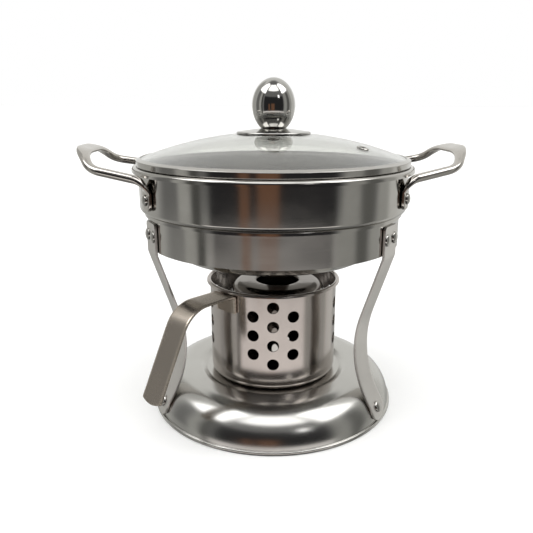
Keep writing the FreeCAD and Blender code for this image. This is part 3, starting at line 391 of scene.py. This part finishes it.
def barMesh(name, corners, width, gauge, ends, outward):
    # Flat bar bent along a path: a grid on one face, thickened and with its edges broken.
    # ends: radius of the corners at the start, the same at the end, and the sag of a curved end.
    startRound, endRound, sag = ends
    spacing, columns, brokenEdge = 2.5, 12, 0.22
    path = densified(roundedPath(corners, 3), spacing)
    runs = [0.0]
    for before, after in zip(path, path[1:]):
        runs.append(runs[-1] + (after - before).length)
    total = runs[-1]
    stops = list(runs)
    for radius, start, sense in ((startRound, 0, 1), (endRound, total, -1)):
        if not radius:
            continue
        steps = 3 if radius < 1 else 9
        shares = [1 - math.cos(math.radians(90 * count / steps)) for count in range(1, steps)]
        stops = [stop for stop in stops if stop in (0, total) or abs(stop - start) > radius]
        stops += [start + sense * radius * share for share in shares]

    def spotAt(run):
        index = max(i for i, start in enumerate(runs[:-1]) if start <= max(0, run) + 1e-6)
        return path[index].lerp(path[index + 1], (run - runs[index]) / (runs[index + 1] - runs[index]))

    made = bmesh.new()
    rows = []
    for stop in sorted(stops):
        half = width / 2
        for gap, radius in ((stop, startRound), (total - stop, endRound)):
            if radius and gap < radius:
                half = min(half, width / 2 - radius + math.sqrt(max(0, radius**2 - (radius - gap)**2)))
        row = []
        for column in range(columns + 1):
            side = 2 * column / columns - 1
            nearEnd = max(0, 1 - (total - stop) / (4 * sag)) if sag else 0
            spot = spotAt(stop - nearEnd * sag * side * side)
            row.append(made.verts.new(Vector((spot.x, half * side, spot.y)) * mm))
        rows.append(row)
    for upper, lower in zip(rows, rows[1:]):
        for column in range(columns):
            made.faces.new((upper[column], upper[column + 1], lower[column + 1], lower[column]))
    bmesh.ops.recalc_face_normals(made, faces=made.faces)
    facing = sum(face.normal.x * face.calc_area() for face in made.faces) > 0
    if facing != outward:
        bmesh.ops.reverse_faces(made, faces=made.faces)
    return thickened(name, toMesh(name, made), gauge, 1, brokenEdge=brokenEdge)


def outwardTurn(degrees):
    # A piece drawn along +X points in a direction counted from the front towards the right.
    return Matrix.Rotation(math.radians(degrees - 90), 4, "Z")


def makeLegs():
    for node, degrees in leg["directions"].items():
        name = "leg" + node[4:].title().replace("_", "")
        mesh = barMesh(name, legCorners(), leg["width"], leg["gauge"],
                       (leg["topRound"], leg["footRound"], 0), True)
        mesh.transform(outwardTurn(degrees))
        finishPiece(name, mesh, barSteel, "stand", node, 40)


def rivetSection(rivet):
    # Domed head with a slightly flattened crown and a thin foot, over its shank and tail.
    head, height = rivet["head"], rivet["height"]
    thinFoot, chamfer, steps = 0.15, 0.2, 9
    dome = [Vector((head * math.cos(a), thinFoot + (height - thinFoot) * math.sin(a)))
            for a in (math.radians(90 * n / steps) for n in range(steps + 1))]
    grip, tail, tailHeight = rivet["grip"], rivet["tail"], rivet["tailHeight"]
    return [Vector((0, -grip - tailHeight)), Vector((tail - chamfer, -grip - tailHeight)),
            Vector((tail, -grip - tailHeight + chamfer)), Vector((tail, -grip)),
            Vector((rivet["shank"], -grip)), Vector((rivet["shank"], 0)), Vector((head, 0)),
            *dome[:-1], Vector((0, height))]


def radialPlace(degrees, radius, height, sideways=0, climb=0):
    # Place on a wall, with local Z pointing away from the upright axis and up by the climb.
    angle = math.radians(degrees)
    out = Vector((math.sin(angle), -math.cos(angle), 0))
    side = Vector((0, 0, 1)).cross(out)
    axis = out * math.cos(math.radians(climb)) + Vector((0, 0, math.sin(math.radians(climb))))
    spin = axis.to_track_quat("Z", "Y").to_matrix().to_4x4()
    return Matrix.Translation((out * radius + side * sideways + Vector((0, 0, height))) * mm) @ spin


def makeRivets(name, rivet, places, material, body, node):
    whole = bmesh.new()
    for place in places:
        one = latheMesh(rivetSection(rivet), 40)
        bmesh.ops.transform(one, matrix=place, verts=one.verts)
        part = toMesh("rivet", one)
        whole.from_mesh(part)
        bpy.data.meshes.remove(part)
    finishPiece(name, toMesh(name, whole), material, body, node)


standRivet = {"head": 3.8, "height": 1.7, "shank": 2, "grip": 2.88, "tail": 3, "tailHeight": 0.7,
              "pitch": 11, "ringHeight": 128.5, "footAngle": 24, "footGrip": 2.7}


def makeStandRivets():
    radius = leg["plane"] + leg["gauge"] + contactGap
    turns = leg["directions"].values()
    makeRivets("ringRivets", standRivet,
               [radialPlace(turn, radius, standRivet["ringHeight"], side * standRivet["pitch"] / 2)
                for turn in turns for side in (-1, 1)],
               spunSteel, "stand", "ring_rivets")
    foot = shoulderCentre + polar(base["shoulder"] + leg["gauge"] + 2 * contactGap,
                                  standRivet["footAngle"])
    makeRivets("footRivets", {**standRivet, "grip": standRivet["footGrip"]},
               [radialPlace(turn, foot.x, foot.y, climb=standRivet["footAngle"]) for turn in turns],
               spunSteel, "stand", "foot_rivets")


makeBase()
makeRing()
makeLegs()
makeStandRivets()

# Pan
print("pan")
pan = {"gauge": 0.8, "bottom": 108.3, "bottomRadius": 64, "bottomRound": 10, "lowerRadius": 83,
       "haunch": 127, "haunchRound": 14, "step": 141.6, "stepCorner": 0.95, "stepRound": 2.4,
       "upperRadius": 90, "rimRadius": 94, "rimTop": 170, "rimDrop": 3.3, "rimRound": 1.5}
# Angles in degrees; tab, rod and grip give the bar's width and thickness, corner and bend are radii
panHandle = {
    "turn": 3.3, "side": 30.4, "tabBottom": 146.2, "tabLength": 10.3, "tabEnd": 4, "tab": (11, 2.6),
    "rod": (6.2, 5.4), "grip": (10.4, 3.2), "reach": 122.1, "corner": 25, "bend": 9, "arm": 17.8,
    "slope": 9.7, "kick": 30.4, "kickTurn": 44, "tilt": 16, "standoff": 0.15,
}
panRivet = {"head": 3.5, "height": 1.8, "shank": 1.9, "grip": 3.7, "tail": 3.2, "tailHeight": 0.7,
            "rise": 6.5}


def makePan():
    underRim, lip = pan["rimTop"] - pan["gauge"], pan["rimRadius"] - pan["gauge"]
    section = sheetSection([
        (0, pan["bottom"]),
        (pan["bottomRadius"], pan["bottom"], pan["bottomRound"]),
        (pan["lowerRadius"], pan["haunch"], pan["haunchRound"]),
        (pan["lowerRadius"], pan["step"], pan["stepCorner"]),
        (pan["upperRadius"], pan["step"], pan["stepRound"]),
        (pan["upperRadius"], underRim, pan["rimRound"]),
        (lip, underRim, pan["rimRound"]),
        (lip, pan["rimTop"] - pan["rimDrop"]),
    ], pan["gauge"])
    lathed("pan", section, spunSteel, "pot", "pot_body", 288)


# Rounded end of a tab: share of its length, and how wide and thick the tab is after it
tabRounding = [(0.08, 0.66, 0.9), (0.17, 0.83, 1), (0.33, 0.96, 1), (0.42, 1, 1)]


def marchHandle(armLength):
    # Follows the bar from a tab's lower end to the middle of the grip.
    # Each run: length, turn, rise, width and thickness at its end, and tilt at its end.
    spacing = 1.3
    tabRadius = pan["upperRadius"] + panHandle["standoff"] + panHandle["tab"][1] / 2
    side, arm, tilt = panHandle["side"], panHandle["arm"], panHandle["tilt"]
    start = math.radians(90 - side)
    point = Vector((math.sin(start) * tabRadius, -math.cos(start) * tabRadius, panHandle["tabBottom"]))
    slope, kick, kickTurn = panHandle["slope"], panHandle["kick"], panHandle["kickTurn"]
    tab, rod, grip, tabEnd = panHandle["tab"], panHandle["rod"], panHandle["grip"], panHandle["tabEnd"]
    corner = math.radians(90) * panHandle["corner"]
    runs = [
        *[(tabEnd * share, 0, 0, (tab[0] * wide, tab[1] * thick), 0) for share, wide, thick in tabRounding],
        (panHandle["tabLength"] - tabEnd, 0, 0, tab, 0),
        (math.radians(90 - slope) * panHandle["bend"], side + arm, slope - 90, rod, 0),
        (armLength, 0, 0, rod, 0),
        (corner / 3, kickTurn, kick - slope, rod, tilt / 2),
        (corner * 2 / 3, 90 - kickTurn - arm, -kick, grip, tilt),
    ]
    heading, climb = -side, 90
    size = (tab[0] * 0.4, tab[1] * 0.6)
    tipped = 0
    stations = [(point.copy(), heading, climb, size, 0)]
    for length, turn, rise, endSize, endTipped in runs:
        steps = max(1, math.ceil(abs(length) / spacing))
        startSize, startTipped = size, tipped
        for step in range(1, steps + 1):
            across = math.radians(heading + turn / steps / 2)
            up = math.radians(climb + rise / steps / 2)
            point = point + Vector((math.cos(across) * math.cos(up), math.sin(across) * math.cos(up),
                                    math.sin(up))) * (length / steps)
            heading += turn / steps
            climb += rise / steps
            share = step / steps
            ease = share * share * (3 - 2 * share)
            size = tuple(a + (b - a) * ease for a, b in zip(startSize, endSize))
            tipped = startTipped + (endTipped - startTipped) * share
            stations.append((point.copy(), heading, climb, size, tipped))
    last = Vector((point.x, 0, point.z))
    stations += [(point.lerp(last, share), heading, climb, size, tipped) for share in (0.25, 0.5, 0.75, 1)]
    return stations


def barLoop(point, heading, climb, widths, tipped, around=36):
    # Section of the bar: the flatter, the squarer.
    a, e = math.radians(heading), math.radians(climb)
    along = Vector((math.cos(a) * math.cos(e), math.sin(a) * math.cos(e), math.sin(e)))
    across = Matrix.Rotation(math.radians(-tipped), 3, along) @ Vector((-math.sin(a), math.cos(a), 0))
    up = along.cross(across)
    width, thickness = widths
    power = 2 + min(1.6, max(0, width / thickness - 1.2))
    loop = []
    for number in range(around):
        c, s = math.cos(math.tau * number / around), math.sin(math.tau * number / around)
        x = math.copysign(abs(c) ** (2 / power), c) * width / 2
        y = math.copysign(abs(s) ** (2 / power), s) * thickness / 2
        loop.append((point + across * x + up * y) * mm)
    return loop


def makeHandles():
    armLength = panHandle["reach"] - marchHandle(0)[-1][0].x
    armLength /= math.cos(math.radians(panHandle["slope"])) * math.cos(math.radians(panHandle["arm"]))
    half = marchHandle(armLength)
    mirrored = [(Vector((p.x, -p.y, p.z)), 180 - h, -c, s, t) for p, h, c, s, t in reversed(half[:-1])]
    for side, turn in (("right", 0), ("left", 180)):
        made = bmesh.new()
        rings = [[made.verts.new(spot) for spot in barLoop(*station)] for station in half + mirrored]
        for first, second in zip(rings, rings[1:]):
            for number in range(len(first)):
                beside = (number + 1) % len(first)
                made.faces.new((first[number], first[beside], second[beside], second[number]))
        made.faces.new(rings[0])
        made.faces.new(rings[-1])
        bmesh.ops.recalc_face_normals(made, faces=made.faces)
        name = "panHandle" + side.title()
        mesh = toMesh(name, made)
        mesh.transform(Matrix.Rotation(math.radians(turn + panHandle["turn"]), 4, "Z"))
        finishPiece(name, mesh, handleSteel, "pot", f"pot_handle_{side}", 60)


def makePanRivets():
    radius = pan["upperRadius"] + panHandle["standoff"] + panHandle["tab"][1] + contactGap
    makeRivets("panHandleRivets", panRivet,
               [radialPlace(middle + panHandle["turn"] + side * panHandle["side"], radius,
                            panHandle["tabBottom"] + panRivet["rise"])
                for middle in (90, -90) for side in (-1, 1)],
               spunSteel, "pot", "pot_handle_rivets")


makePan()
makeHandles()
makePanRivets()

# Lid
print("lid")
lid = {"gap": 0.4, "radius": 90.6, "rise": 17.4, "thickness": 2.5, "bandGauge": 0.5, "bandGap": 0.1,
       "bandInner": 87.9, "bandCorner": 0.05, "lipBend": 0.8, "lipBottom": 166.2, "bore": 2.05}
# The glass is a slice of a hollow sphere whose inner edge stands on the band, on the pan's rim.
sphere = (lid["radius"]**2 + lid["rise"]**2) / (2 * lid["rise"])
sphereCentre = pan["rimTop"] + lid["gap"] + lid["bandGauge"] \
    - math.sqrt((sphere - lid["thickness"])**2 - (lid["radius"] + contactGap)**2)
lidTop = sphereCentre + sphere


def domeHeight(radius, depth=0.0):
    return sphereCentre + math.sqrt((sphere - depth)**2 - radius**2)


def makeGlass():
    count = 30
    radii = [lid["bore"] + (lid["radius"] - lid["bore"]) * n / count for n in range(count + 1)]
    outer = [Vector((r, domeHeight(r))) for r in radii]
    inner = [Vector((r, domeHeight(r, lid["thickness"]))) for r in reversed(radii)]
    lathed("lidGlass", outer + inner, lidGlass, "lid", "lid_glass", 192)


def makeBand():
    wall, inner, gap = lid["radius"] + contactGap, lid["bandInner"], lid["bandGap"]
    section = sheetSection([
        (inner, domeHeight(inner) + gap),
        (wall, domeHeight(wall) + gap, lid["bandCorner"]),
        (wall, domeHeight(wall, lid["thickness"]) - gap, lid["bandCorner"]),
        (inner, domeHeight(inner, lid["thickness"]) - gap, lid["lipBend"]),
        (inner, lid["lipBottom"]),
    ], lid["bandGauge"])
    lathed("lidRimBand", section, spunSteel, "lid", "lid_rim_band", 256)


vent = {"distance": 64, "direction": 60, "bore": 2.0, "throat": 2.7, "flange": 4.0, "flangeHeight": 0.6}


def makeVent():
    # Eyelet rolled over on both sides of the glass; the upper roll is rounded down to the bore.
    bottom, top = -lid["thickness"] - 2 * contactGap, contactGap
    bore, throat, flange, height = vent["bore"], vent["throat"], vent["flange"], vent["flangeHeight"]
    section = [Vector(p) for p in (
        (bore, bottom - height), (flange - 0.2, bottom - height), (flange, bottom - height + 0.2),
        (flange, bottom), (throat, bottom), (throat, top), (flange, top), (flange, top + 0.25),
        (flange - 0.3, top + 0.55), (flange - 0.8, top + height), (bore + 0.5, top + 0.45),
        (bore + 0.1, top + 0.2), (bore, top - 0.1))]
    distance = vent["distance"]
    tilt = math.degrees(math.asin(distance / sphere))
    made = latheMesh(section, 48)
    bmesh.ops.transform(made, verts=made.verts, matrix=radialPlace(
        vent["direction"], distance, domeHeight(distance), climb=90 - tilt))
    finishPiece("ventEyelet", toMesh("ventEyelet", made), spunSteel, "lid", "vent_grommet")


knob = {"radius": 14.3, "halfHeight": 17.9, "neck": 8.4, "bottom": lidTop + 2.15}
disc = {"gauge": 0.8, "radius": 25, "crown": 9.5, "crownBend": 2.5, "top": lidTop + 2.1, "gap": 0.3,
        "edge": 1.0, "edgeBend": 0.95}


def makeKnob():
    # Egg shape: an ellipse turned about the axis and cut off at its neck.
    centre = knob["bottom"] + knob["halfHeight"] * math.sqrt(1 - (knob["neck"] / knob["radius"])**2)
    low = math.degrees(math.asin((knob["bottom"] - centre) / knob["halfHeight"]))
    steps = 48
    egg = []
    for number in range(steps + 1):
        angle = math.radians(low + (90 - low) * number / steps)
        egg.append(Vector((knob["radius"] * math.cos(angle), centre + knob["halfHeight"] * math.sin(angle))))
    egg[-1].x = 0
    lathed("knob", [Vector((0, knob["bottom"]))] + egg, mirrorSteel, "lid", "lid_knob", 128)
    rim = domeHeight(disc["radius"]) + disc["gap"]
    lathed("knobDisc", sheetSection([
        (lid["bore"], disc["top"]), (disc["crown"], disc["top"], disc["crownBend"]),
        (disc["radius"], rim + disc["edge"], disc["edgeBend"]), (disc["radius"], rim),
    ], -disc["gauge"]), mirrorSteel, "lid", "knob_disc", 128)


gasket = {"radius": 9, "thickness": 1.2, "round": 0.2}
washer = {"radius": 7.5, "thickness": 1.2, "lowerRound": 0.3, "upperRound": 0.2}
screw = {"shank": 2, "reach": 9, "tipRound": 0.4, "head": 4, "headHeight": 2.4, "headRound": 1.1,
         "socket": 1.5, "socketRoof": 1.5}


def makeKnobStack():
    # Gasket on the glass, washer under it, and the screw from below with a socket in its head.
    bore = lid["bore"]
    bottom = lidTop + contactGap
    top = bottom + gasket["thickness"]
    lathed("knobGasket", roundedPath([(bore, bottom), (gasket["radius"], bottom, gasket["round"]),
                                      (gasket["radius"], top, gasket["round"]), (bore, top)]),
           silicone, "lid", "knob_gasket", 64)
    top = domeHeight(washer["radius"], lid["thickness"]) - contactGap
    bottom = top - washer["thickness"]
    lathed("knobWasher", roundedPath([(bore, bottom), (washer["radius"], bottom, washer["lowerRound"]),
                                      (washer["radius"], top, washer["upperRound"]), (bore, top)]),
           spunSteel, "lid", "knob_washer", 64)
    headTop = bottom - contactGap
    headBottom = headTop - screw["headHeight"]
    roof = headTop - screw["socketRoof"]
    tip = knob["bottom"] + screw["reach"]
    section = [Vector(p) for p in ((0, roof), (screw["socket"] - 0.3, roof - 0.1),
                                   (screw["socket"], headBottom))]
    section += roundedPath([
        (screw["socket"] + 0.1, headBottom), (screw["head"], headBottom, screw["headRound"]),
        (screw["head"], headTop), (screw["shank"], headTop), (screw["shank"], tip, screw["tipRound"]),
        (0, tip)])
    lathed("knobScrew", section, spunSteel, "lid", "knob_screw", 48)


makeGlass()
makeBand()
makeVent()
makeKnob()
makeKnobStack()

# Burner
print("burner")
# Four groups of holes, each with three columns: three holes, four holes and three holes.
# "turn" is the angle between two columns, and a hole's cell has eight quads a side.
shell = {"gauge": 0.8, "radius": 44.9, "bottom": 22.3, "top": 90.6, "roll": 1.5, "rollDrop": 2,
         "rollRound": 0.7, "corner": 5, "hole": 4, "pitch": 13.3, "firstHole": 41.8, "turn": 17.2,
         "groups": 4, "columns": (3, 4, 3), "cell": 8, "between": 18}


def shellAngles():
    # Column edges round the shell: eight to a hole's cell, more between the groups.
    cell, count, wide = shell["turn"], shell["cell"], len(shell["columns"])
    share = 360 / shell["groups"]
    angles = []
    for group in range(shell["groups"]):
        start = group * share - wide / 2 * cell
        angles += [start + cell * n / count for n in range(wide * count)]
        gap = share - wide * cell
        angles += [start + wide * cell + gap * n / shell["between"] for n in range(shell["between"])]
    return angles


def shellPoint(radius, degrees, height):
    angle = math.radians(degrees)
    return Vector((radius * math.sin(angle), -radius * math.cos(angle), height)) * mm


def makeShell():
    # The wall is a grid in which each hole has a cell of its own; the holes are ringed afterwards.
    radius, cell = shell["radius"], shell["cell"]
    most = max(shell["columns"])
    wall = roundedPath([(0, shell["bottom"]), (radius, shell["bottom"], shell["corner"]),
                        (radius, shell["top"])])[:-1]
    low = shell["firstHole"] - shell["pitch"] / 2
    heights = [low + shell["pitch"] * n / cell for n in range(most * cell + 1)]
    underRoll, lip = shell["top"] - shell["gauge"], radius + shell["roll"]
    rim = roundedPath([(radius, heights[-1]), (radius, underRoll, shell["rollRound"]),
                       (lip, underRoll, shell["rollRound"]),
                       (lip, shell["top"] - shell["rollDrop"])], 15)[1:]
    profile = wall + [Vector((radius, z)) for z in heights] + rim
    firstRow = len(wall)
    angles = shellAngles()
    made = bmesh.new()
    grid = []
    for point in profile:
        if point.x < 1e-6:
            grid.append([made.verts.new((0, 0, point.y * mm))] * len(angles))
            continue
        grid.append([made.verts.new(shellPoint(point.x, angle, point.y)) for angle in angles])
    groupWidth = len(angles) // shell["groups"]
    holes = [(group * groupWidth + column * cell,
              firstRow + (most - count) * cell // 2 + number * cell)
             for group in range(shell["groups"])
             for column, count in enumerate(shell["columns"]) for number in range(count)]
    covered = {(c + i, r + j) for c, r in holes for i in range(cell) for j in range(cell)}
    for row in range(len(grid) - 1):
        for column in range(len(angles)):
            if (column, row) in covered:
                continue
            beside = (column + 1) % len(angles)
            corners = [grid[row][column], grid[row][beside], grid[row + 1][beside], grid[row + 1][column]]
            made.faces.new(list(dict.fromkeys(corners)))
    for column, row in holes:
        ringHole(made, grid, angles, column, row)
    bmesh.ops.recalc_face_normals(made, faces=made.faces)
    floor = min(made.faces, key=lambda face: face.calc_center_median().length)
    if floor.normal.z > 0:
        bmesh.ops.reverse_faces(made, faces=made.faces)
    mesh = thickened("shellSheet", toMesh("burnerShell", made), shell["gauge"], -1, evenOffset=True)
    finishPiece("burnerShell", mesh, satinSteel, "burner", "burner_shell", 40)


def ringHole(made, grid, angles, column, row):
    # Quads between a square cell and the round hole in it, in three loops towards the hole.
    count, cell = len(angles), shell["cell"]
    sides = ((0, 0, 1, 0), (cell, 0, 0, 1), (cell, cell, -1, 0), (0, cell, 0, -1))
    outer = [grid[row + y + yStep * n][(column + x + xStep * n) % count]
             for x, y, xStep, yStep in sides for n in range(cell)]
    middle = angles[(column + cell // 2) % count]
    height = grid[row + cell // 2][column % count].co.z / mm
    loops = [outer]
    for share in (0.55, 0.85, 1.0):
        loop = []
        for vert in outer:
            turn = math.degrees(math.atan2(vert.co.x, -vert.co.y)) - middle
            turn = (turn + 180) % 360 - 180
            flat = Vector((math.radians(turn) * shell["radius"], vert.co.z / mm - height))
            target = flat.normalized() * shell["hole"]
            spot = flat.lerp(target, share)
            loop.append(made.verts.new(shellPoint(
                shell["radius"], middle + math.degrees(spot.x / shell["radius"]), height + spot.y)))
        loops.append(loop)
    for first, second in zip(loops, loops[1:]):
        for number in range(len(outer)):
            beside = (number + 1) % len(outer)
            made.faces.new((first[number], first[beside], second[beside], second[number]))


grip = {"gauge": 1.5, "width": 17.5, "top": 88.2, "tab": 12.5, "tabBend": 2.4, "tabRound": 0.4,
        "shoulder": 82.3, "bend": 22, "splay": 26.4, "drop": 55.7, "endSag": 2.1, "direction": -43}


def makeGrip():
    # Bar from a tab on the shell up and out over the base, then down into a splayed, curved end.
    splay = math.radians(grip["splay"])
    inner = shell["radius"] + contactGap
    mesh = barMesh("burnerHandle", [
        (inner, grip["top"] - grip["tab"]), (inner, grip["top"], grip["tabBend"]),
        (grip["shoulder"], grip["top"], grip["bend"]),
        (grip["shoulder"] + grip["drop"] * math.tan(splay), grip["top"] - grip["drop"]),
    ], grip["width"], grip["gauge"], (grip["tabRound"], 0, grip["endSag"]), False)
    mesh.transform(outwardTurn(grip["direction"]))
    finishPiece("burnerHandle", mesh, groundSteel, "burner", "burner_handle", 40)


can = {"offset": 3, "radius": 32.4, "bottom": 23.4, "corner": 3, "rim": 63.4, "gauge": 0.6,
       "coverRadius": 33.2, "skirt": 56.5, "coverTop": 88, "coverRound": 7, "opening": 15,
       "openingBend": 0.95, "lip": 4, "wickTop": 74.05, "wickRound": 2.5}


def makeCan():
    offset = (can["offset"], 0)
    lathed("fuelCan", sheetSection([(0, can["bottom"]), (can["radius"], can["bottom"], can["corner"]),
                                    (can["radius"], can["rim"])], can["gauge"]),
           mirrorSteel, "can", "fuel_can", 128, offset)
    lathed("fuelCanCover", sheetSection([
        (can["coverRadius"], can["skirt"]), (can["coverRadius"], can["coverTop"], can["coverRound"]),
        (can["opening"], can["coverTop"], can["openingBend"]),
        (can["opening"], can["coverTop"] - can["lip"])],
        can["gauge"]), coverSteel, "can", "fuel_can_cover", 128, offset)
    radius = can["radius"] - can["gauge"] - contactGap
    bottom = can["bottom"] + can["gauge"] + contactGap
    lathed("wickPad", roundedPath([(0, bottom), (radius, bottom, can["corner"]),
                                   (radius, can["wickTop"], can["wickRound"]), (0, can["wickTop"])]),
           wickCotton, "can", "wick_pad", 96, offset)


makeShell()
makeGrip()
makeCan()

# Studio
print("studio")
studio = {
    "room": "#7E7E7D",  # walls at the sides and behind
    # softly edged patches: azimuth from the front towards the right, half width, elevation, half height,
    # edge width (all in degrees), colour and strength
    "patches": [
        (0, 180, -30, 13, 6, "#A6A6A3", 1.0),     # skirting and table edges all round
        (180, 60, 27, 30, 22, "#F2F2EF", 1.0),    # pale wall behind the object
        (0, 50, -34, 60, 6, "#303031", 1.0),      # the dark room behind the camera
        (0, 70, -25, 6, 4, "#F0ECE9", 1.3),       # the table's far part, towards the camera
        (-130, 14, 8, 40, 8, "#C0C0BC", 1.0),     # doorway, left
        (-77, 4, 8, 40, 5, "#BDBDB9", 1.0),       # curtain, left
        (-65, 2.5, 8, 40, 3, "#565653", 1.0),     # its fold
        (66, 6, 8, 40, 5, "#ABABA7", 1.0),        # curtain, right
        (84, 4, 8, 40, 5, "#6E6E6B", 1.0),        # its fold
        (103, 6, 8, 40, 6, "#B4B4B0", 1.0),       # doorway, right
        (124, 10, 8, 40, 8, "#E0E0DC", 1.0),      # window, right
        (-23, 2.5, -6, 10, 3, "#8A6650", 0.8),    # warm furniture in the dark room
        (-4, 6, -5, 9, 5, "#8A6650", 0.8),
        (30, 3, 30, 3, 3, "#FFFFFF", 3.0),        # small lamp
        (0, 41, 65, 12, 5, "#FFFFFF", 2.4),       # softboxes over the camera
        (-80, 22, 56, 15, 6, "#FFFFFF", 3.6),
        (80, 22, 56, 15, 6, "#FFFFFF", 3.6),
    ],
    "floor": "#F4F4F3", "background": "#FFFFFF", "softLight": 1.25,
}


def makeWorld():
    # Metal reflects the room of patches, matt surfaces get an even soft light, and the camera sees a
    # plain background, also through the glass.
    world = bpy.data.worlds.new("softStudio")
    world.use_nodes = True
    tree = world.node_tree
    tree.nodes.clear()
    aim = addNode(tree, "ShaderNodeTexCoord").outputs["Generated"]
    parts = addNode(tree, "ShaderNodeSeparateXYZ", inputs={"Vector": aim})
    front = addNode(tree, "ShaderNodeMath", {"operation": "MULTIPLY"}, {0: parts.outputs["Y"], 1: -1.0})
    azimuth = addNode(tree, "ShaderNodeMath", {"operation": "ARCTAN2"},
                      {0: parts.outputs["X"], 1: front.outputs[0]}).outputs[0]
    elevation = addNode(tree, "ShaderNodeMath", {"operation": "ARCSINE"}, {0: parts.outputs["Z"]}).outputs[0]
    colour = linearColour(studio["room"])
    for middle, halfWidth, height, halfHeight, edge, hexColour, strength in studio["patches"]:
        masks = []
        for value, centre, half in ((azimuth, middle, halfWidth), (elevation, height, halfHeight)):
            away = addNode(tree, "ShaderNodeMath", {"operation": "SUBTRACT"},
                           {0: value, 1: math.radians(centre)})
            wrapped = addNode(tree, "ShaderNodeMath", {"operation": "WRAP"},
                              {0: away.outputs[0], 1: math.pi, 2: -math.pi})
            distance = addNode(tree, "ShaderNodeMath", {"operation": "ABSOLUTE"}, {0: wrapped.outputs[0]})
            masks.append(addNode(tree, "ShaderNodeMapRange", {"interpolation_type": "SMOOTHSTEP"}, {
                "Value": distance.outputs[0], "From Min": math.radians(half),
                "From Max": math.radians(half + edge), "To Min": 1.0, "To Max": 0.0}).outputs[0])
        mask = addNode(tree, "ShaderNodeMath", {"operation": "MULTIPLY"}, {0: masks[0], 1: masks[1]})
        bright = tuple(c * strength for c in linearColour(hexColour)[:3]) + (1,)
        colour = addNode(tree, "ShaderNodeMix", {"data_type": "RGBA"}, {
            "Factor": mask.outputs[0], "A": colour, "B": bright}).outputs["Result"]
    room = addNode(tree, "ShaderNodeBackground", inputs={"Color": colour, "Strength": 1.0})
    background = linearColour(studio["background"])
    soft = addNode(tree, "ShaderNodeBackground", inputs={
        "Color": background, "Strength": studio["softLight"]})
    seen = addNode(tree, "ShaderNodeBackground", inputs={"Color": background, "Strength": 1.0})
    path = addNode(tree, "ShaderNodeLightPath")
    isSeen = addNode(tree, "ShaderNodeMath", {"operation": "MAXIMUM"}, {
        0: path.outputs["Is Camera Ray"], 1: path.outputs["Is Transmission Ray"]})
    lit = addNode(tree, "ShaderNodeMixShader", inputs={
        0: path.outputs["Is Diffuse Ray"], 1: room.outputs[0], 2: soft.outputs[0]})
    mixed = addNode(tree, "ShaderNodeMixShader", inputs={
        0: isSeen.outputs[0], 1: lit.outputs[0], 2: seen.outputs[0]})
    addNode(tree, "ShaderNodeOutputWorld", inputs={"Surface": mixed.outputs[0]})
    bpy.context.scene.world = world


def makeFloor():
    # Pale table under the object; the metal reflects the room instead of it.
    reach = 30  # metres, so that its edge is out of sight
    mesh = bpy.data.meshes.new("floor")
    mesh.from_pydata([(x * reach, y * reach, 0) for x, y in ((-1, -1), (1, -1), (1, 1), (-1, 1))],
                     [], [(0, 1, 2, 3)])
    material, _, shader = newMaterial("paleTable")
    shader.inputs["Base Color"].default_value = linearColour(studio["floor"])
    shader.inputs["Roughness"].default_value = 0.9
    mesh.materials.append(material)
    floor = bpy.data.objects.new("floor", mesh)
    bpy.context.scene.collection.objects.link(floor)
    floor.visible_glossy = False


# Fitted to the photograph: place in millimetres, angles in radians
view = {"sensor": 36, "lens": 38.71, "shift": -0.0156, "place": (0, -393.6, 209.0),
        "down": 0.277, "roll": -0.003, "turn": -0.002}


def makeCamera():
    data = bpy.data.cameras.new("camera")
    data.sensor_width = view["sensor"]
    data.lens = view["lens"]
    data.shift_x = view["shift"]
    camera = bpy.data.objects.new("camera", data)
    camera.location = Vector(view["place"]) * mm
    camera.rotation_euler = (math.radians(90) - view["down"], view["roll"], view["turn"])
    bpy.context.scene.collection.objects.link(camera)
    bpy.context.scene.camera = camera


makeWorld()
makeFloor()
makeCamera()
bpy.context.scene.view_settings.view_transform = "Standard"
